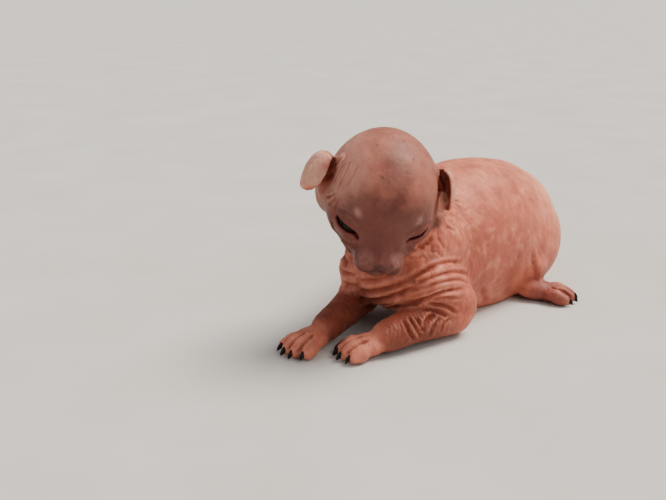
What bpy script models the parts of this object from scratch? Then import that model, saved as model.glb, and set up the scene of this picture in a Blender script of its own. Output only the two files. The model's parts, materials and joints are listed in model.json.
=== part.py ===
"""A sphynx kitten about twelve days old, life size. It lies on its belly with its forelegs reaching
forward, its hind feet splayed and its head lifted and turned towards its left.

The nose points along -Y, the kitten's left side is +X and the floor is at z = 0.
"""

import math

import bmesh
import bpy
import numpy as np
from mathutils import Euler, Matrix, Vector
from mathutils.bvhtree import BVHTree

MM = 0.001

# Driving sizes of the animal, in metres
SKULL_WIDTH = 35.6 * MM
SKULL_LENGTH = 42 * MM
PAW_LENGTH = 18 * MM
FOOT_LENGTH = 24 * MM
TAIL_THICKNESS = 11.6 * MM
GAP = 0.3 * MM

# The head's place, and its turn as nose-down pitch, tilt to the left and yaw to the left
HEAD_CENTRE = Vector((6.9, -66.7, 56.3)) * MM
HEAD_PITCH = math.radians(27)
HEAD_ROLL = math.radians(8)
HEAD_YAW = math.radians(42)

# Grain of the modelling: the voxels of the body masses, and of the finer forms laid on them
MASS_VOXEL = 1.0 * MM
FORM_VOXEL = 0.5 * MM
MASS_SMOOTHING = 36
FORM_SMOOTHING = 7
BODY_TRIANGLES = 6600
SLEEVE_VOXEL = 2.4 * MM
SLEEVE_SHARE = 0.25

# Eyes, in the head's frame. The lids have only begun to part: the openings are the left and right eye's
EYE_RADIUS = 4.6 * MM
EYE_PLACE = Vector((9.8, -11.9, -6.0)) * MM
LID_THICKNESS = 1.1 * MM
SLIT_SLANT = math.radians(19)
SLIT_LENGTH = {1: 10.5 * MM, -1: 12.2 * MM}
SLIT_OPENING = {1: 1.3 * MM, -1: 2.4 * MM}

# Ears: small hoods that still hang. Each has a root at its top, the way it points and the way its back
# faces, in the head's frame
EAR_LENGTH = 15.5 * MM
EAR_RADIUS = 4.7 * MM
EAR_THICKNESS = 1.1 * MM
EAR_ROOT = {1: Vector((16.6, 1.2, 7.6)) * MM, -1: Vector((-18.0, 1.2, 8.1)) * MM}
EAR_POINTING = {1: Vector((0.29, -0.36, -0.88)), -1: Vector((-0.55, -0.40, -0.73))}
EAR_BACK = {1: Vector((0.80, 0.52, 0.06)), -1: Vector((-0.62, -0.02, 0.74))}
EAR_WRAP = (math.radians(92), math.radians(140))
EAR_CROWN = 0.34
CANAL_RADII = (2.6 * MM, 2.4 * MM, 3.4 * MM)

CLAW_LENGTH = 2.2 * MM
CLAW_RADIUS = 0.8 * MM


def head_matrix():
    """Takes a point of the head's own frame (nose along -Y, crown up, origin in the skull) to the model."""
    pitch = Matrix.Rotation(HEAD_PITCH, 4, "X")
    roll = Matrix.Rotation(HEAD_ROLL, 4, "Y")
    yaw = Matrix.Rotation(HEAD_YAW, 4, "Z")
    return Matrix.Translation(HEAD_CENTRE) @ yaw @ roll @ pitch


HEAD = head_matrix()


# Scene and mesh helpers


def clear_scene():
    """Removes the objects that are in the scene."""
    for obj in list(bpy.data.objects):
        bpy.data.objects.remove(obj, do_unlink=True)


def new_collection(name):
    """A collection linked to the scene."""
    made = bpy.data.collections.new(name)
    bpy.context.scene.collection.children.link(made)
    return made


def as_object(name, mesh, collection):
    """A mesh object in the collection."""
    obj = bpy.data.objects.new(name, mesh)
    collection.objects.link(obj)
    return obj


def baked(obj, name):
    """The object's evaluated mesh as a new mesh, after which the object is removed."""
    graph = bpy.context.evaluated_depsgraph_get()
    mesh = bpy.data.meshes.new_from_object(obj.evaluated_get(graph), depsgraph=graph)
    mesh.name = name
    bpy.data.objects.remove(obj, do_unlink=True)
    return mesh


def points_of(mesh):
    """The mesh's vertices as an array."""
    found = np.empty(len(mesh.vertices) * 3)
    mesh.vertices.foreach_get("co", found)
    return found.reshape(-1, 3)


def normals_of(mesh):
    """The mesh's vertex normals as an array."""
    found = np.empty(len(mesh.vertices) * 3)
    mesh.vertex_normals.foreach_get("vector", found)
    return found.reshape(-1, 3)


def set_points(mesh, points):
    """Moves the mesh's vertices."""
    mesh.vertices.foreach_set("co", points.astype(np.float32).ravel())
    mesh.update()


class Clay:
    """A pile of overlapping balls and limbs, which a voxel remesh fuses and smoothing blends."""

    def __init__(self, frame=None):
        self.bm = bmesh.new()
        self.frame = frame or Matrix.Identity(4)

    def ball(self, centre, radii, turn=(0, 0, 0)):
        """An ellipsoid. Centre and radii are in millimetres of the pile's frame, turn is in degrees."""
        place = Matrix.LocRotScale(Vector(centre) * MM, Euler([math.radians(t) for t in turn]), Vector(radii) * MM)
        bmesh.ops.create_uvsphere(self.bm, u_segments=28, v_segments=18, radius=1, matrix=self.frame @ place)

    def pair(self, centre, radii, turn=(0, 0, 0)):
        """The same ellipsoid on the left and on the right."""
        x, y, z = centre
        tilt, lean, swing = turn
        self.ball((x, y, z), radii, (tilt, lean, swing))
        self.ball((-x, y, z), radii, (tilt, -lean, -swing))

    def limb(self, joints, flat_end=False):
        """A tapering limb through joints, each a point and a radius in millimetres, rounded at its ends."""
        for (start, thick), (end, thin) in zip(joints, joints[1:]):
            start, end = Vector(start) * MM, Vector(end) * MM
            along = end - start
            turn = along.to_track_quat("Z", "Y")
            place = Matrix.LocRotScale((start + end) / 2, turn, None)
            bmesh.ops.create_cone(
                self.bm, cap_ends=True, segments=24, radius1=thick * MM, radius2=thin * MM,
                depth=along.length, matrix=self.frame @ place,
            )
        for point, radius in joints[:-1] if flat_end else joints:
            self.ball(point, (radius, radius, radius))

    def object(self, name, collection):
        """The pile as one mesh object."""
        mesh = bpy.data.meshes.new(name)
        self.bm.to_mesh(mesh)
        self.bm.free()
        return as_object(name, mesh, collection)


def fused(name, parts, voxel, smoothing, collection):
    """One closed mesh from overlapping mesh objects, fused by voxels and smoothed."""
    bm = bmesh.new()
    for part in parts:
        bm.from_mesh(part.data)
        bpy.data.objects.remove(part, do_unlink=True)
    mesh = bpy.data.meshes.new(name)
    bm.to_mesh(mesh)
    bm.free()
    obj = as_object(name, mesh, collection)
    remesh = obj.modifiers.new("fuse", "REMESH")
    remesh.mode = "VOXEL"
    remesh.voxel_size = voxel
    smooth = obj.modifiers.new("blend", "SMOOTH")
    smooth.factor = 0.5
    smooth.iterations = smoothing
    return as_object(name, baked(obj, name), collection)


# Masses of the body


# The trunk from breast to rump: place along the body, half width, height of the back and clearance below
TRUNK = np.array([
    (-52, 19.0, 42, 8),
    (-36, 22.5, 50, 3),
    (-20, 25.5, 53, -4),
    (-4, 28.0, 54, -9),
    (10, 28.5, 52.5, -10),
    (24, 27.0, 51.0, -9),
    (36, 22.5, 46.0, -5),
    (46, 15.5, 38.0, 5),
]) * MM
TRUNK_BALLS = 22
BREAST_SWAY = 2.5


def trunk_masses(clay):
    """The trunk as a row of balls, whose soft belly would reach below the floor and so spreads on it."""
    stations = np.linspace(TRUNK[0, 0], TRUNK[-1, 0], TRUNK_BALLS)
    for y in stations:
        half, top, low = (np.interp(y, TRUNK[:, 0], TRUNK[:, k]) for k in (1, 2, 3))
        sway = BREAST_SWAY * max(0, y / TRUNK[0, 0]) ** 2
        centre = (sway, y / MM, (top + low) / 2 / MM)
        clay.ball(centre, (half / MM, 12.5, (top - low) / 2 / MM))


def neck_masses(clay):
    """The short neck, which rises from between the shoulders to the back of the skull."""
    clay.limb([((1, -40, 38), 16), ((4, -54, 45), 14.5), ((6, -60, 51), 13)])


def foreleg_masses(clay, side):
    """Shoulder blade, upper arm and forearm. The left foreleg reaches inward and the right one further out."""
    if side > 0:
        clay.ball((15, -44, 31), (8.5, 13, 13), (-25, 0, 0))
        clay.limb([((15, -53, 23), 10.0), ((20.5, -41, 11), 8.4)])
        clay.limb([((20.5, -43, 7.8), 7.8), ((16, -61, 8.0), 6.6), ((12.4, -72, 6.2), 5.7)])
    else:
        clay.ball((-12, -44, 30), (8.5, 13, 13), (-25, 0, 0))
        clay.limb([((-10, -53, 21), 9.5), ((-16, -45, 10), 8.0)])
        clay.limb([((-16, -47, 7.6), 7.4), ((-10.5, -66, 7.6), 6.0), ((-8.6, -78, 6.0), 5.4)])


def hindleg_masses(clay, side):
    """Thigh and shank, folded against the belly, with the foot turned out."""
    clay.ball((side * 17, 24, 18), (12, 20, 16.5), (18, 0, side * 14))
    clay.limb([((side * 22, 10, 11), 8.6), ((side * 22.5, 14, 7.0), 5.6), ((side * 21.5, 8.5, 5.6), 4.8)])


def tail_joints():
    """The tail leaves the rump, comes down to the floor and curls round the kitten's right side."""
    path = [(0, 50, 22), (-0.5, 59, 15), (-5, 67, 6.2), (-15, 72, 0), (-28, 69, 0), (-38, 60, 0), (-42, 49, 0)]
    joints = []
    for i, (x, y, z) in enumerate(path):
        radius = TAIL_THICKNESS / MM / 2 * (1 - 0.70 * (i / (len(path) - 1)) ** 0.9)
        joints.append(((x, y, max(z, radius - 0.35)), radius))
    return joints


def head_masses(clay):
    """Dome, nape, brow, cheeks, ear bases and the broad base of the muzzle, in the head's frame."""
    half = SKULL_WIDTH / MM / 2
    long = SKULL_LENGTH / MM / 2
    clay.ball((0, 0, 0), (half, long, half))
    clay.pair((5.5, 1.5, 0.0), (12.8, 15.5, 14.6))
    clay.ball((0, 8, -3), (0.86 * half, 14, 14.5))
    clay.ball((0, -8.0, -3.5), (0.88 * half, 12, 11.5))
    clay.pair((8.8, -6.5, -8.0), (7.4, 9.5, 7.2))
    clay.pair((17.4, 2.2, -4.0), (4.4, 6.0, 7.0), (0, 14, 0))
    clay.ball((0, -15.5, -6.8), (8.4, 8.5, 6.8), (24, 0, 0))
    clay.pair((3.8, -15.0, -10.6), (5.0, 8.0, 5.4), (0, 0, 12))
    clay.pair((6.2, -12.5, -12.4), (5.4, 7.5, 4.4), (0, 0, 18))
    clay.ball((0, -8, -13), (9, 12, 6))


def head_forms(clay):
    """Whisker pads, nose, chin, brow bumps, the fold before each ear and the eyes' bulge, in the head's frame."""
    clay.pair((3.0, -20.4, -11.2), (4.2, 5.2, 4.4), (0, 0, 20))
    clay.ball((0, -21.2, -8.0), (3.2, 4.6, 3.2), (28, 0, 0))
    clay.ball((0, -24.2, -9.2), (2.6, 2.0, 2.1), (10, 0, 0))
    clay.ball((0, -18.4, -15.0), (4.2, 5.0, 3.0))
    clay.pair((9.4, -15.5, 1.0), (2.0, 1.4, 2.2), (20, 0, 20))
    clay.pair((15.4, -0.6, 8.0), (2.0, 3.2, 3.4))
    x, y, z = EYE_PLACE / MM
    lid = (EYE_RADIUS + LID_THICKNESS) / MM
    clay.pair((x, y, z), (lid, lid, lid))


# Feet


def foot_frame(ankle, heading):
    """A frame at an ankle whose +Y runs towards the toes. Heading is in degrees from +X."""
    turn = Matrix.Rotation(math.radians(heading - 90), 4, "Z")
    return Matrix.Translation(Vector(ankle) * MM) @ turn


# Each foot's ankle in millimetres, heading in degrees, length, and whether it is a hind foot
FEET = {
    "forepaw_left": ((12.2, -71.5, 0), 236, PAW_LENGTH, False),
    "forepaw_right": ((-8.6, -78.5, 0), 262, PAW_LENGTH, False),
    "hindpaw_left": ((21.0, 4.5, 0), 24, FOOT_LENGTH, True),
    "hindpaw_right": ((-21.0, 5.5, 0), 142, FOOT_LENGTH, True),
}
TOES = 4


def toe_places(length):
    """For each toe, its place across and along the foot, its fan angle in degrees and its size."""
    reach = length / MM
    places = []
    for toe in range(TOES):
        spread = toe - (TOES - 1) / 2
        along = reach - 5.6 - 1.1 * abs(spread) ** 1.6
        places.append((3.55 * spread, along, -10.5 * spread, 1 - 0.05 * abs(spread)))
    return places


def foot_forms(clay, length, hind):
    """The back of a foot, its pad and its toes, each with a knuckle, in the foot's frame."""
    reach = length / MM
    clay.ball((0, reach * 0.34, 4.0), (5.6 if not hind else 4.9, reach * 0.40, 3.9), (-6, 0, 0))
    clay.ball((0, reach * 0.58, 3.4), (6.8 if not hind else 6.0, 5.0, 3.3))
    for across, along, fan, size in toe_places(length):
        clay.ball((across, along, 3.0), (2.25 * size, 4.4 * size, 2.9 * size), (-16, 0, fan))
        clay.ball((across * 1.06, along + 2.6, 2.2), (2.0 * size, 2.4 * size, 2.15 * size), (0, 0, fan))


def claw(name, frame, across, along, fan, collection):
    """One curved claw with its root sunk in the toe's tip: a tapering tube bent down."""
    curve = bpy.data.curves.new(name, "CURVE")
    curve.dimensions = "3D"
    curve.bevel_depth = CLAW_RADIUS
    curve.bevel_resolution = 1
    curve.use_fill_caps = True
    spline = curve.splines.new("POLY")
    steps = 5
    spline.points.add(steps - 1)
    for i in range(steps):
        share = i / (steps - 1)
        reach = -1.4 * MM + share * (CLAW_LENGTH + 1.4 * MM)
        drop = 1.9 * MM * share**1.8
        spline.points[i].co = (0, reach, -drop, 1)
        spline.points[i].radius = 1.0 - 0.78 * share
    obj = as_object(name, curve, collection)
    turn = Matrix.Rotation(math.radians(fan), 4, "Z")
    tip = Matrix.Translation(Vector((across, along + 4.4, 2.75)) * MM)
    obj.matrix_world = frame @ tip @ turn
    bpy.context.view_layer.update()
    graph = bpy.context.evaluated_depsgraph_get()
    mesh = bpy.data.meshes.new_from_object(obj.evaluated_get(graph), depsgraph=graph)
    mesh.transform(obj.matrix_world)
    bm = bmesh.new()
    bm.from_mesh(mesh)
    bmesh.ops.remove_doubles(bm, verts=bm.verts, dist=0.01 * MM)
    bmesh.ops.recalc_face_normals(bm, faces=bm.faces)
    bm.to_mesh(mesh)
    bm.free()
    bpy.data.objects.remove(obj, do_unlink=True)
    return as_object(name, mesh, collection)


# Ears


def ear_sheet(name, side, extra, collection):
    """The cupped flap of one ear: a leaf bent into a trough, with its open side forward and down.

    Extra thickens it, to make the slot that its root sits in.
    """
    along = EAR_POINTING[side].normalized()
    back = (EAR_BACK[side] - along * EAR_BACK[side].dot(along)).normalized()
    across = along.cross(back)
    rows, columns = 9, 12
    bm = bmesh.new()
    grid = []
    stretch = 1.5 * extra / EAR_LENGTH
    for i in range(rows + 1):
        v = i / rows * (1 + 2 * stretch) - stretch
        hood = (1 - (1 - min(1.0, max(0.003, v + 0.02) / EAR_CROWN)) ** 2) ** 0.5
        radius = EAR_RADIUS * hood * (1.0 - 0.10 * v**2)
        tip = max(0.0, 1 - v**3) ** 0.5
        margin = 0.10 + 1.5 * extra / radius
        front = EAR_WRAP[0] * (0.62 + 0.38 * min(1.0, max(0.0, v) / 0.6)) * tip + margin
        rear = EAR_WRAP[1] * (1 - 0.30 * v**2) * tip + margin
        line = []
        for j in range(columns + 1):
            angle = side * (front - (front + rear) * j / columns)
            bend = -3.4 * MM * v**3
            place = EAR_ROOT[side] + along * EAR_LENGTH * v
            place += back * (radius * math.cos(angle) + bend) + across * (radius * math.sin(angle))
            line.append(bm.verts.new(HEAD @ place))
        grid.append(line)
    for low, high in zip(grid, grid[1:]):
        for a, b, c, d in zip(low, low[1:], high[1:], high):
            bm.faces.new((a, b, c, d))
    mesh = bpy.data.meshes.new(name)
    bm.to_mesh(mesh)
    bm.free()
    sheet = as_object(name, mesh, collection)
    solid = sheet.modifiers.new("thickness", "SOLIDIFY")
    solid.thickness = EAR_THICKNESS + 2 * extra
    solid.offset = 0
    solid.use_quality_normals = True
    return as_object(name, baked(sheet, name), collection)


# Cuts


def ball_object(name, place, radii, collection, segments=24):
    """An ellipsoid as an object. Place is a matrix and the radii are in metres."""
    bm = bmesh.new()
    scaled = place @ Matrix.Diagonal((*radii, 1))
    bmesh.ops.create_uvsphere(bm, u_segments=segments, v_segments=segments * 2 // 3, radius=1, matrix=scaled)
    mesh = bpy.data.meshes.new(name)
    bm.to_mesh(mesh)
    bm.free()
    return as_object(name, mesh, collection)


def facing(centre, normal):
    """A frame at a centre in millimetres whose +Z is the normal and whose +Y leans up."""
    z = Vector(normal).normalized()
    y = (Vector((0, 0, 1)) - z * z.z).normalized()
    x = y.cross(z)
    turn = Matrix((x, y, z)).transposed().to_4x4()
    return Matrix.Translation(Vector(centre) * MM) @ turn


def disc_cutter(name, centre, normal, half_wide, half_high, collection):
    """A thin elliptical disc, which parts two nodes by GAP."""
    bm = bmesh.new()
    place = facing(centre, normal) @ Matrix.Diagonal((half_wide * MM, half_high * MM, 1, 1))
    bmesh.ops.create_cone(bm, cap_ends=True, segments=40, radius1=1, radius2=1, depth=GAP, matrix=place)
    mesh = bpy.data.meshes.new(name)
    bm.to_mesh(mesh)
    bm.free()
    return as_object(name, mesh, collection)


def shell_cutter(name, centre, radii, turn, collection):
    """A thin ellipsoidal shell, which parts a rounded limb from the trunk by GAP."""
    place = Matrix.LocRotScale(Vector(centre) * MM, Euler([math.radians(t) for t in turn]), None)
    ball = ball_object(name, place, [r * MM for r in radii], collection, 18)
    solid = ball.modifiers.new("gap", "SOLIDIFY")
    solid.thickness = GAP
    solid.offset = 0
    return as_object(name, baked(ball, name), collection)


def sleeve_cutter(name, joints, shop, collection):
    """A thin sleeve round a foreleg: it parts the leg from the trunk, and its flat end parts the paw."""
    clay = Clay()
    clay.limb(joints, flat_end=True)
    solid = fused(name, [clay.object(name, shop)], SLEEVE_VOXEL, 1, shop)
    fewer = solid.modifiers.new("fewer", "DECIMATE")
    fewer.ratio = SLEEVE_SHARE
    gap = solid.modifiers.new("gap", "SOLIDIFY")
    gap.thickness = GAP
    gap.offset = 0
    return as_object(name, baked(solid, name), collection)


def slit_cutter(side, collection):
    """The almond opening between the lids of one eye."""
    centre = EYE_PLACE.copy()
    centre.x *= side
    outward = Vector((side * 0.42, -1.0, 0.10)).normalized()
    level = Vector((side * 1.0, 0.42, 0)).normalized()
    level = (level - outward * level.dot(outward)).normalized()
    up = Vector((0, 0, 1))
    up = (up - outward * up.dot(outward) - level * up.dot(level)).normalized()
    wide = level * math.cos(SLIT_SLANT) + up * math.sin(SLIT_SLANT)
    high = outward.cross(wide)
    place = Matrix((wide, high, outward)).transposed().to_4x4()
    place = HEAD @ Matrix.Translation(centre + outward * EYE_RADIUS) @ place
    radii = (SLIT_LENGTH[side] / 2, SLIT_OPENING[side] / 2, 3.0 * MM)
    return ball_object(f"slit_{side}", place, radii, collection, 20)


def face_cutters(collection):
    """Nostrils, the cleft below the nose, the line of the mouth, and the canal that each ear hoods."""
    for side in (1, -1):
        cuts = [
            ("nostril", (side * 1.35, -25.6, -9.4), (0.6, 1.1, 0.5), (0, side * 25, side * -20)),
            ("lip", (side * 3.3, -19.4, -13.3), (4.9, 6.4, 0.34), (0, side * 13, side * 10)),
        ]
        for name, centre, radii, (tilt, lean, swing) in cuts:
            turn = Euler([math.radians(t) for t in (tilt, lean, swing)])
            place = HEAD @ Matrix.LocRotScale(Vector(centre) * MM, turn, None)
            ball_object(f"{name}_{side}", place, [r * MM for r in radii], collection, 12)
        canal = EAR_ROOT[side] + EAR_POINTING[side].normalized() * EAR_LENGTH * 0.42
        depth = canal - Vector((side * 1.6, 0.4, 0)) * MM
        ball_object(f"canal_{side}", HEAD @ Matrix.Translation(depth), CANAL_RADII, collection, 14)
    cleft = HEAD @ Matrix.Translation(Vector((0, -24.9, -11.6)) * MM)
    ball_object("cleft", cleft, (0.3 * MM, 1.3 * MM, 1.9 * MM), collection, 12)


def boolean(obj, operation, collection, name, into):
    """Applies one Boolean of the collection's objects to the object, then removes those objects."""
    cut = obj.modifiers.new(operation.lower(), "BOOLEAN")
    cut.operation = operation
    cut.operand_type = "COLLECTION"
    cut.collection = collection
    cut.solver = "MANIFOLD"
    made = as_object(name, baked(obj, name), into)
    for other in list(collection.objects):
        bpy.data.objects.remove(other, do_unlink=True)
    return made


# Nodes


def closed_pieces(mesh):
    """The mesh's separate closed surfaces as lists of faces."""
    count = len(mesh.vertices)
    owner = np.arange(count)
    edges = np.empty(len(mesh.edges) * 2, dtype=np.int64)
    mesh.edges.foreach_get("vertices", edges)
    edges = edges.reshape(-1, 2)
    while True:
        low = np.minimum(owner[edges[:, 0]], owner[edges[:, 1]])
        before = owner.copy()
        np.minimum.at(owner, edges[:, 0], low)
        np.minimum.at(owner, edges[:, 1], low)
        owner = owner[owner]
        if np.array_equal(before, owner):
            break
    groups = {}
    for face in mesh.polygons:
        groups.setdefault(int(owner[face.vertices[0]]), []).append(tuple(face.vertices))
    return list(groups.values())


def holds(points, faces, place):
    """Whether a point lies inside a closed surface."""
    tree = BVHTree.FromPolygons(points, faces)
    start = Vector(place)
    ray = Vector((0.31, 0.17, 0.93)).normalized()
    crossings = 0
    while crossings < 60:
        hit, _, _, _ = tree.ray_cast(start, ray)
        if hit is None:
            break
        crossings += 1
        start = hit + ray * 1e-6
    return crossings % 2 == 1


def node_from(name, points, faces, colour, collection):
    """A node from some of a mesh's faces."""
    used = sorted({index for face in faces for index in face})
    renumber = {old: new for new, old in enumerate(used)}
    mesh = bpy.data.meshes.new(name)
    mesh.from_pydata([points[i] for i in used], [], [[renumber[i] for i in face] for face in faces])
    mesh.update()
    return dressed(as_object(name, mesh, collection), colour)


def dressed(obj, colour, roughness=0.55):
    """Gives an object its own material."""
    finish = bpy.data.materials.new(obj.name + "_finish")
    finish.use_nodes = True
    shader = finish.node_tree.nodes["Principled BSDF"]
    shader.inputs["Base Color"].default_value = (*colour, 1)
    shader.inputs["Roughness"].default_value = roughness
    shader.inputs["Metallic"].default_value = 0
    obj.data.materials.clear()
    obj.data.materials.append(finish)
    return obj


SKIN = (0.60, 0.27, 0.20)
FACE_SKIN = (0.28, 0.13, 0.11)
EYE_COLOUR = (0.02, 0.025, 0.03)

# The sleeve that parts each foreleg, as joints in millimetres, each a little wider than the leg
SLEEVES = {
    "sleeve_left": [((15, -52, 20), 9.2), ((20.5, -41.5, 10), 10.4), ((16, -61, 8), 8.8), ((12.8, -71.4, 6.4), 8.6)],
    "sleeve_right": [((-10.5, -53, 19), 9.6), ((-16, -46, 9), 9.8), ((-10.5, -66, 7.6), 8.2), ((-8.6, -77.6, 6.2), 8.0)],
}

# A point inside each node that is parted from the body, in millimetres, and its colour
ANCHORS = {
    "head": ((7.4, -68, 58), FACE_SKIN),
    "neck": ((4.5, -53.5, 42.5), SKIN),
    "torso": ((1, -15, 28), SKIN),
    "foreleg_left": ((18.5, -52, 9), SKIN),
    "foreleg_right": ((-15, -57, 9), SKIN),
    "forepaw_left": ((8.2, -77.5, 4), SKIN),
    "forepaw_right": ((-9.4, -85.5, 4), SKIN),
    "hindleg_left": ((20, 20, 12), SKIN),
    "hindleg_right": ((-20, 20, 12), SKIN),
    "hindpaw_left": ((33.5, 10.2, 4), SKIN),
    "hindpaw_right": ((-33, 14.8, 4), SKIN),
    "tail": ((-15, 72, 3.0), SKIN),
}


def body_object(shop):
    """The whole body as one closed faceted surface, before it is parted."""
    body = Clay()
    trunk_masses(body)
    neck_masses(body)
    for side in (1, -1):
        foreleg_masses(body, side)
        hindleg_masses(body, side)
    body.limb(tail_joints())
    skull = Clay(HEAD)
    head_masses(skull)
    masses = fused("masses", [body.object("body", shop), skull.object("skull", shop)], MASS_VOXEL, MASS_SMOOTHING, shop)
    pieces = [masses]
    face = Clay(HEAD)
    head_forms(face)
    pieces.append(face.object("face", shop))
    for name, (ankle, heading, length, hind) in FEET.items():
        foot = Clay(foot_frame(ankle, heading))
        foot_forms(foot, length, hind)
        pieces.append(foot.object(name, shop))
    whole = fused("whole", pieces, FORM_VOXEL, FORM_SMOOTHING, shop)
    to_floor(whole)
    return thinned(whole, shop)


def to_floor(obj):
    """Flattens what lies at or below the floor onto it."""
    points = points_of(obj.data)
    points[:, 2] = np.where(points[:, 2] < 0.12 * MM, 0, points[:, 2])
    set_points(obj.data, points)


def thinned(obj, collection):
    """Fewer triangles."""
    count = sum(len(face.vertices) - 2 for face in obj.data.polygons)
    fewer = obj.modifiers.new("fewer", "DECIMATE")
    fewer.ratio = BODY_TRIANGLES / count
    made = as_object("body", baked(obj, "body"), collection)
    to_floor(made)
    return made


def main():
    """Builds the model."""
    clear_scene()
    shop = new_collection("workshop")
    nodes = new_collection("kitten")
    tools = new_collection("tools")
    body = body_object(shop)
    for name, (ankle, heading, length, hind) in FEET.items():
        frame = foot_frame(ankle, heading)
        for i, (across, along, fan, size) in enumerate(toe_places(length)):
            claw(f"{name}_claw_{i}", frame, across, along, fan, tools)
    body = boolean(body, "UNION", tools, "clawed", shop)

    for side in (1, -1):
        word = "left" if side > 0 else "right"
        centre = EYE_PLACE.copy()
        centre.x *= side
        place = HEAD @ Matrix.Translation(centre)
        pocket = EYE_RADIUS + GAP
        ball_object(f"pocket_{word}", place, (pocket, pocket, pocket), tools, 20)
        slit_cutter(side, tools)
        ear_sheet(f"slot_{word}", side, GAP, tools)
        eye = ball_object(f"eye_{word}", place, (EYE_RADIUS,) * 3, nodes, 20)
        dressed(eye, EYE_COLOUR, 0.15)
    face_cutters(tools)
    disc_cutter("nape", (5.5, -56.5, 47), (-0.15, 0.72, -0.68), 23, 23, tools)
    shell_cutter("neck_base", (8.2, -68.2, 54.6), (29, 29, 29), (0, 0, 0), tools)
    for name, joints in SLEEVES.items():
        sleeve_cutter(name, joints, shop, tools)
    shell_cutter("hip_left", (19, 19, 10), (14.5, 30, 25), (0, 0, 0), tools)
    shell_cutter("hip_right", (-19, 19, 10), (14.5, 30, 25), (0, 0, 0), tools)
    start, next_one = tail_joints()[:2]
    along = Vector(next_one[0]) - Vector(start[0])
    disc_cutter("tail_root", Vector(next_one[0]) + along * 0.15, along, 9.5, 9.5, tools)
    parted = boolean(body, "DIFFERENCE", tools, "parted", shop)

    pieces = sorted(closed_pieces(parted.data), key=len, reverse=True)
    points = [tuple(vertex.co) for vertex in parted.data.vertices]
    for name, (anchor, colour) in ANCHORS.items():
        anchor = Vector(anchor) * MM
        found = [faces for faces in pieces if holds(points, faces, anchor)]
        node_from(name, points, found[0], colour, nodes)
    bpy.data.objects.remove(parted, do_unlink=True)
    for side in (1, -1):
        word = "left" if side > 0 else "right"
        ear = ear_sheet(f"ear_{word}", side, 0, nodes)
        dressed(ear, SKIN)


main()
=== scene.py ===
"""Looks of a life-size sphynx kitten: one wrinkled skin, its eyes, claws, whiskers and down."""

import itertools
import json
import logging
import math
from dataclasses import dataclass, field
from enum import Enum

import bmesh
import bpy
import numpy as np
from mathutils import Euler, Matrix, Vector
from mathutils.bvhtree import BVHTree

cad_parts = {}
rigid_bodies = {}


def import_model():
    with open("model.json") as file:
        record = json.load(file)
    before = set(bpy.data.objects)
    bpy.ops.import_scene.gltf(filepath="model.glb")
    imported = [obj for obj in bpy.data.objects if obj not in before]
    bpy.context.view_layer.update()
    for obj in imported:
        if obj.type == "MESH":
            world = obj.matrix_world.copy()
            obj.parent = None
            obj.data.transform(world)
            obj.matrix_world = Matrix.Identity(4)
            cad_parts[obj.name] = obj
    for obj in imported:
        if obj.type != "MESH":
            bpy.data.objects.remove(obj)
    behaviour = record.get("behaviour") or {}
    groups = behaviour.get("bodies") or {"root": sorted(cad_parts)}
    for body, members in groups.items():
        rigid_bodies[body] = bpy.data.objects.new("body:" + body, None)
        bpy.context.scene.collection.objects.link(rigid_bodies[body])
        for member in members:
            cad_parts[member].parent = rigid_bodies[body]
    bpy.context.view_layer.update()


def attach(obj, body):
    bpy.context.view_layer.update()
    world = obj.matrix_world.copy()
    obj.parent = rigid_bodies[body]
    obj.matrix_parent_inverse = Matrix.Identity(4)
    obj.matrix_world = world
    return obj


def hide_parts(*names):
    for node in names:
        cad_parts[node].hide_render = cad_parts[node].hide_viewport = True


MM = 0.001
Array = np.ndarray
Point = tuple[float, float, float]
Joints = tuple[tuple[Point, float], ...]
Colour = tuple[float, float, float]
LOG = logging.getLogger("kitten")


class Side(Enum):
    """The kitten's own left and right."""

    LEFT = 1
    RIGHT = -1

    @property
    def word(self) -> str:
        """The side's name as node names spell it."""
        return self.name.lower()

    @property
    def index(self) -> int:
        """The side's place in a pair of values, the left one's first."""
        return 0 if self is Side.LEFT else 1


class Slot(Enum):
    """The record's material slots."""

    FACE = "face_skin"
    BODY = "body_skin"
    EYE = "eyeball"


# Small tools


def smoothstep(low: float, high: float, value: Array) -> Array:
    """A smooth rise from 0 at low to 1 at high.

    Args:
        low: Where the rise starts. It may be above high, and the rise is then a fall.
        high: Where the rise ends.
        value: The numbers to map.

    Returns:
        Numbers from 0 to 1.
    """
    share = np.clip((value - low) / (high - low), 0, 1)
    return share * share * (3 - 2 * share)


def mixed(colour: Array, tone: Colour, share: Array) -> Array:
    """Blends one tone into an array of colours.

    Args:
        colour: Colours, one a row.
        tone: The tone that is blended in.
        share: How much of the tone each row takes.

    Returns:
        The blended colours.
    """
    return colour + (np.array(tone) - colour) * share[:, None]


def reach(points: Array, centre: Point, radii: Point) -> Array:
    """How far out points lie in an ellipsoid.

    Args:
        points: Places, one a row.
        centre: The ellipsoid's centre, in the points' unit.
        radii: Its three radii.

    Returns:
        One number a point: 0 at the centre and 1 on the ellipsoid.
    """
    return np.linalg.norm((points - np.array(centre)) / np.array(radii), axis=1)


def new_collection(name: str) -> bpy.types.Collection:
    """A collection linked to the scene.

    Args:
        name: Its name.

    Returns:
        The new collection.
    """
    made = bpy.data.collections.new(name)
    bpy.context.scene.collection.children.link(made)
    return made


def as_object(name: str, mesh: bpy.types.Mesh, collection: bpy.types.Collection) -> bpy.types.Object:
    """A mesh object in the collection.

    Args:
        name: The object's name.
        mesh: Its mesh.
        collection: Where it goes.

    Returns:
        The new object.
    """
    obj = bpy.data.objects.new(name, mesh)
    collection.objects.link(obj)
    return obj


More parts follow.
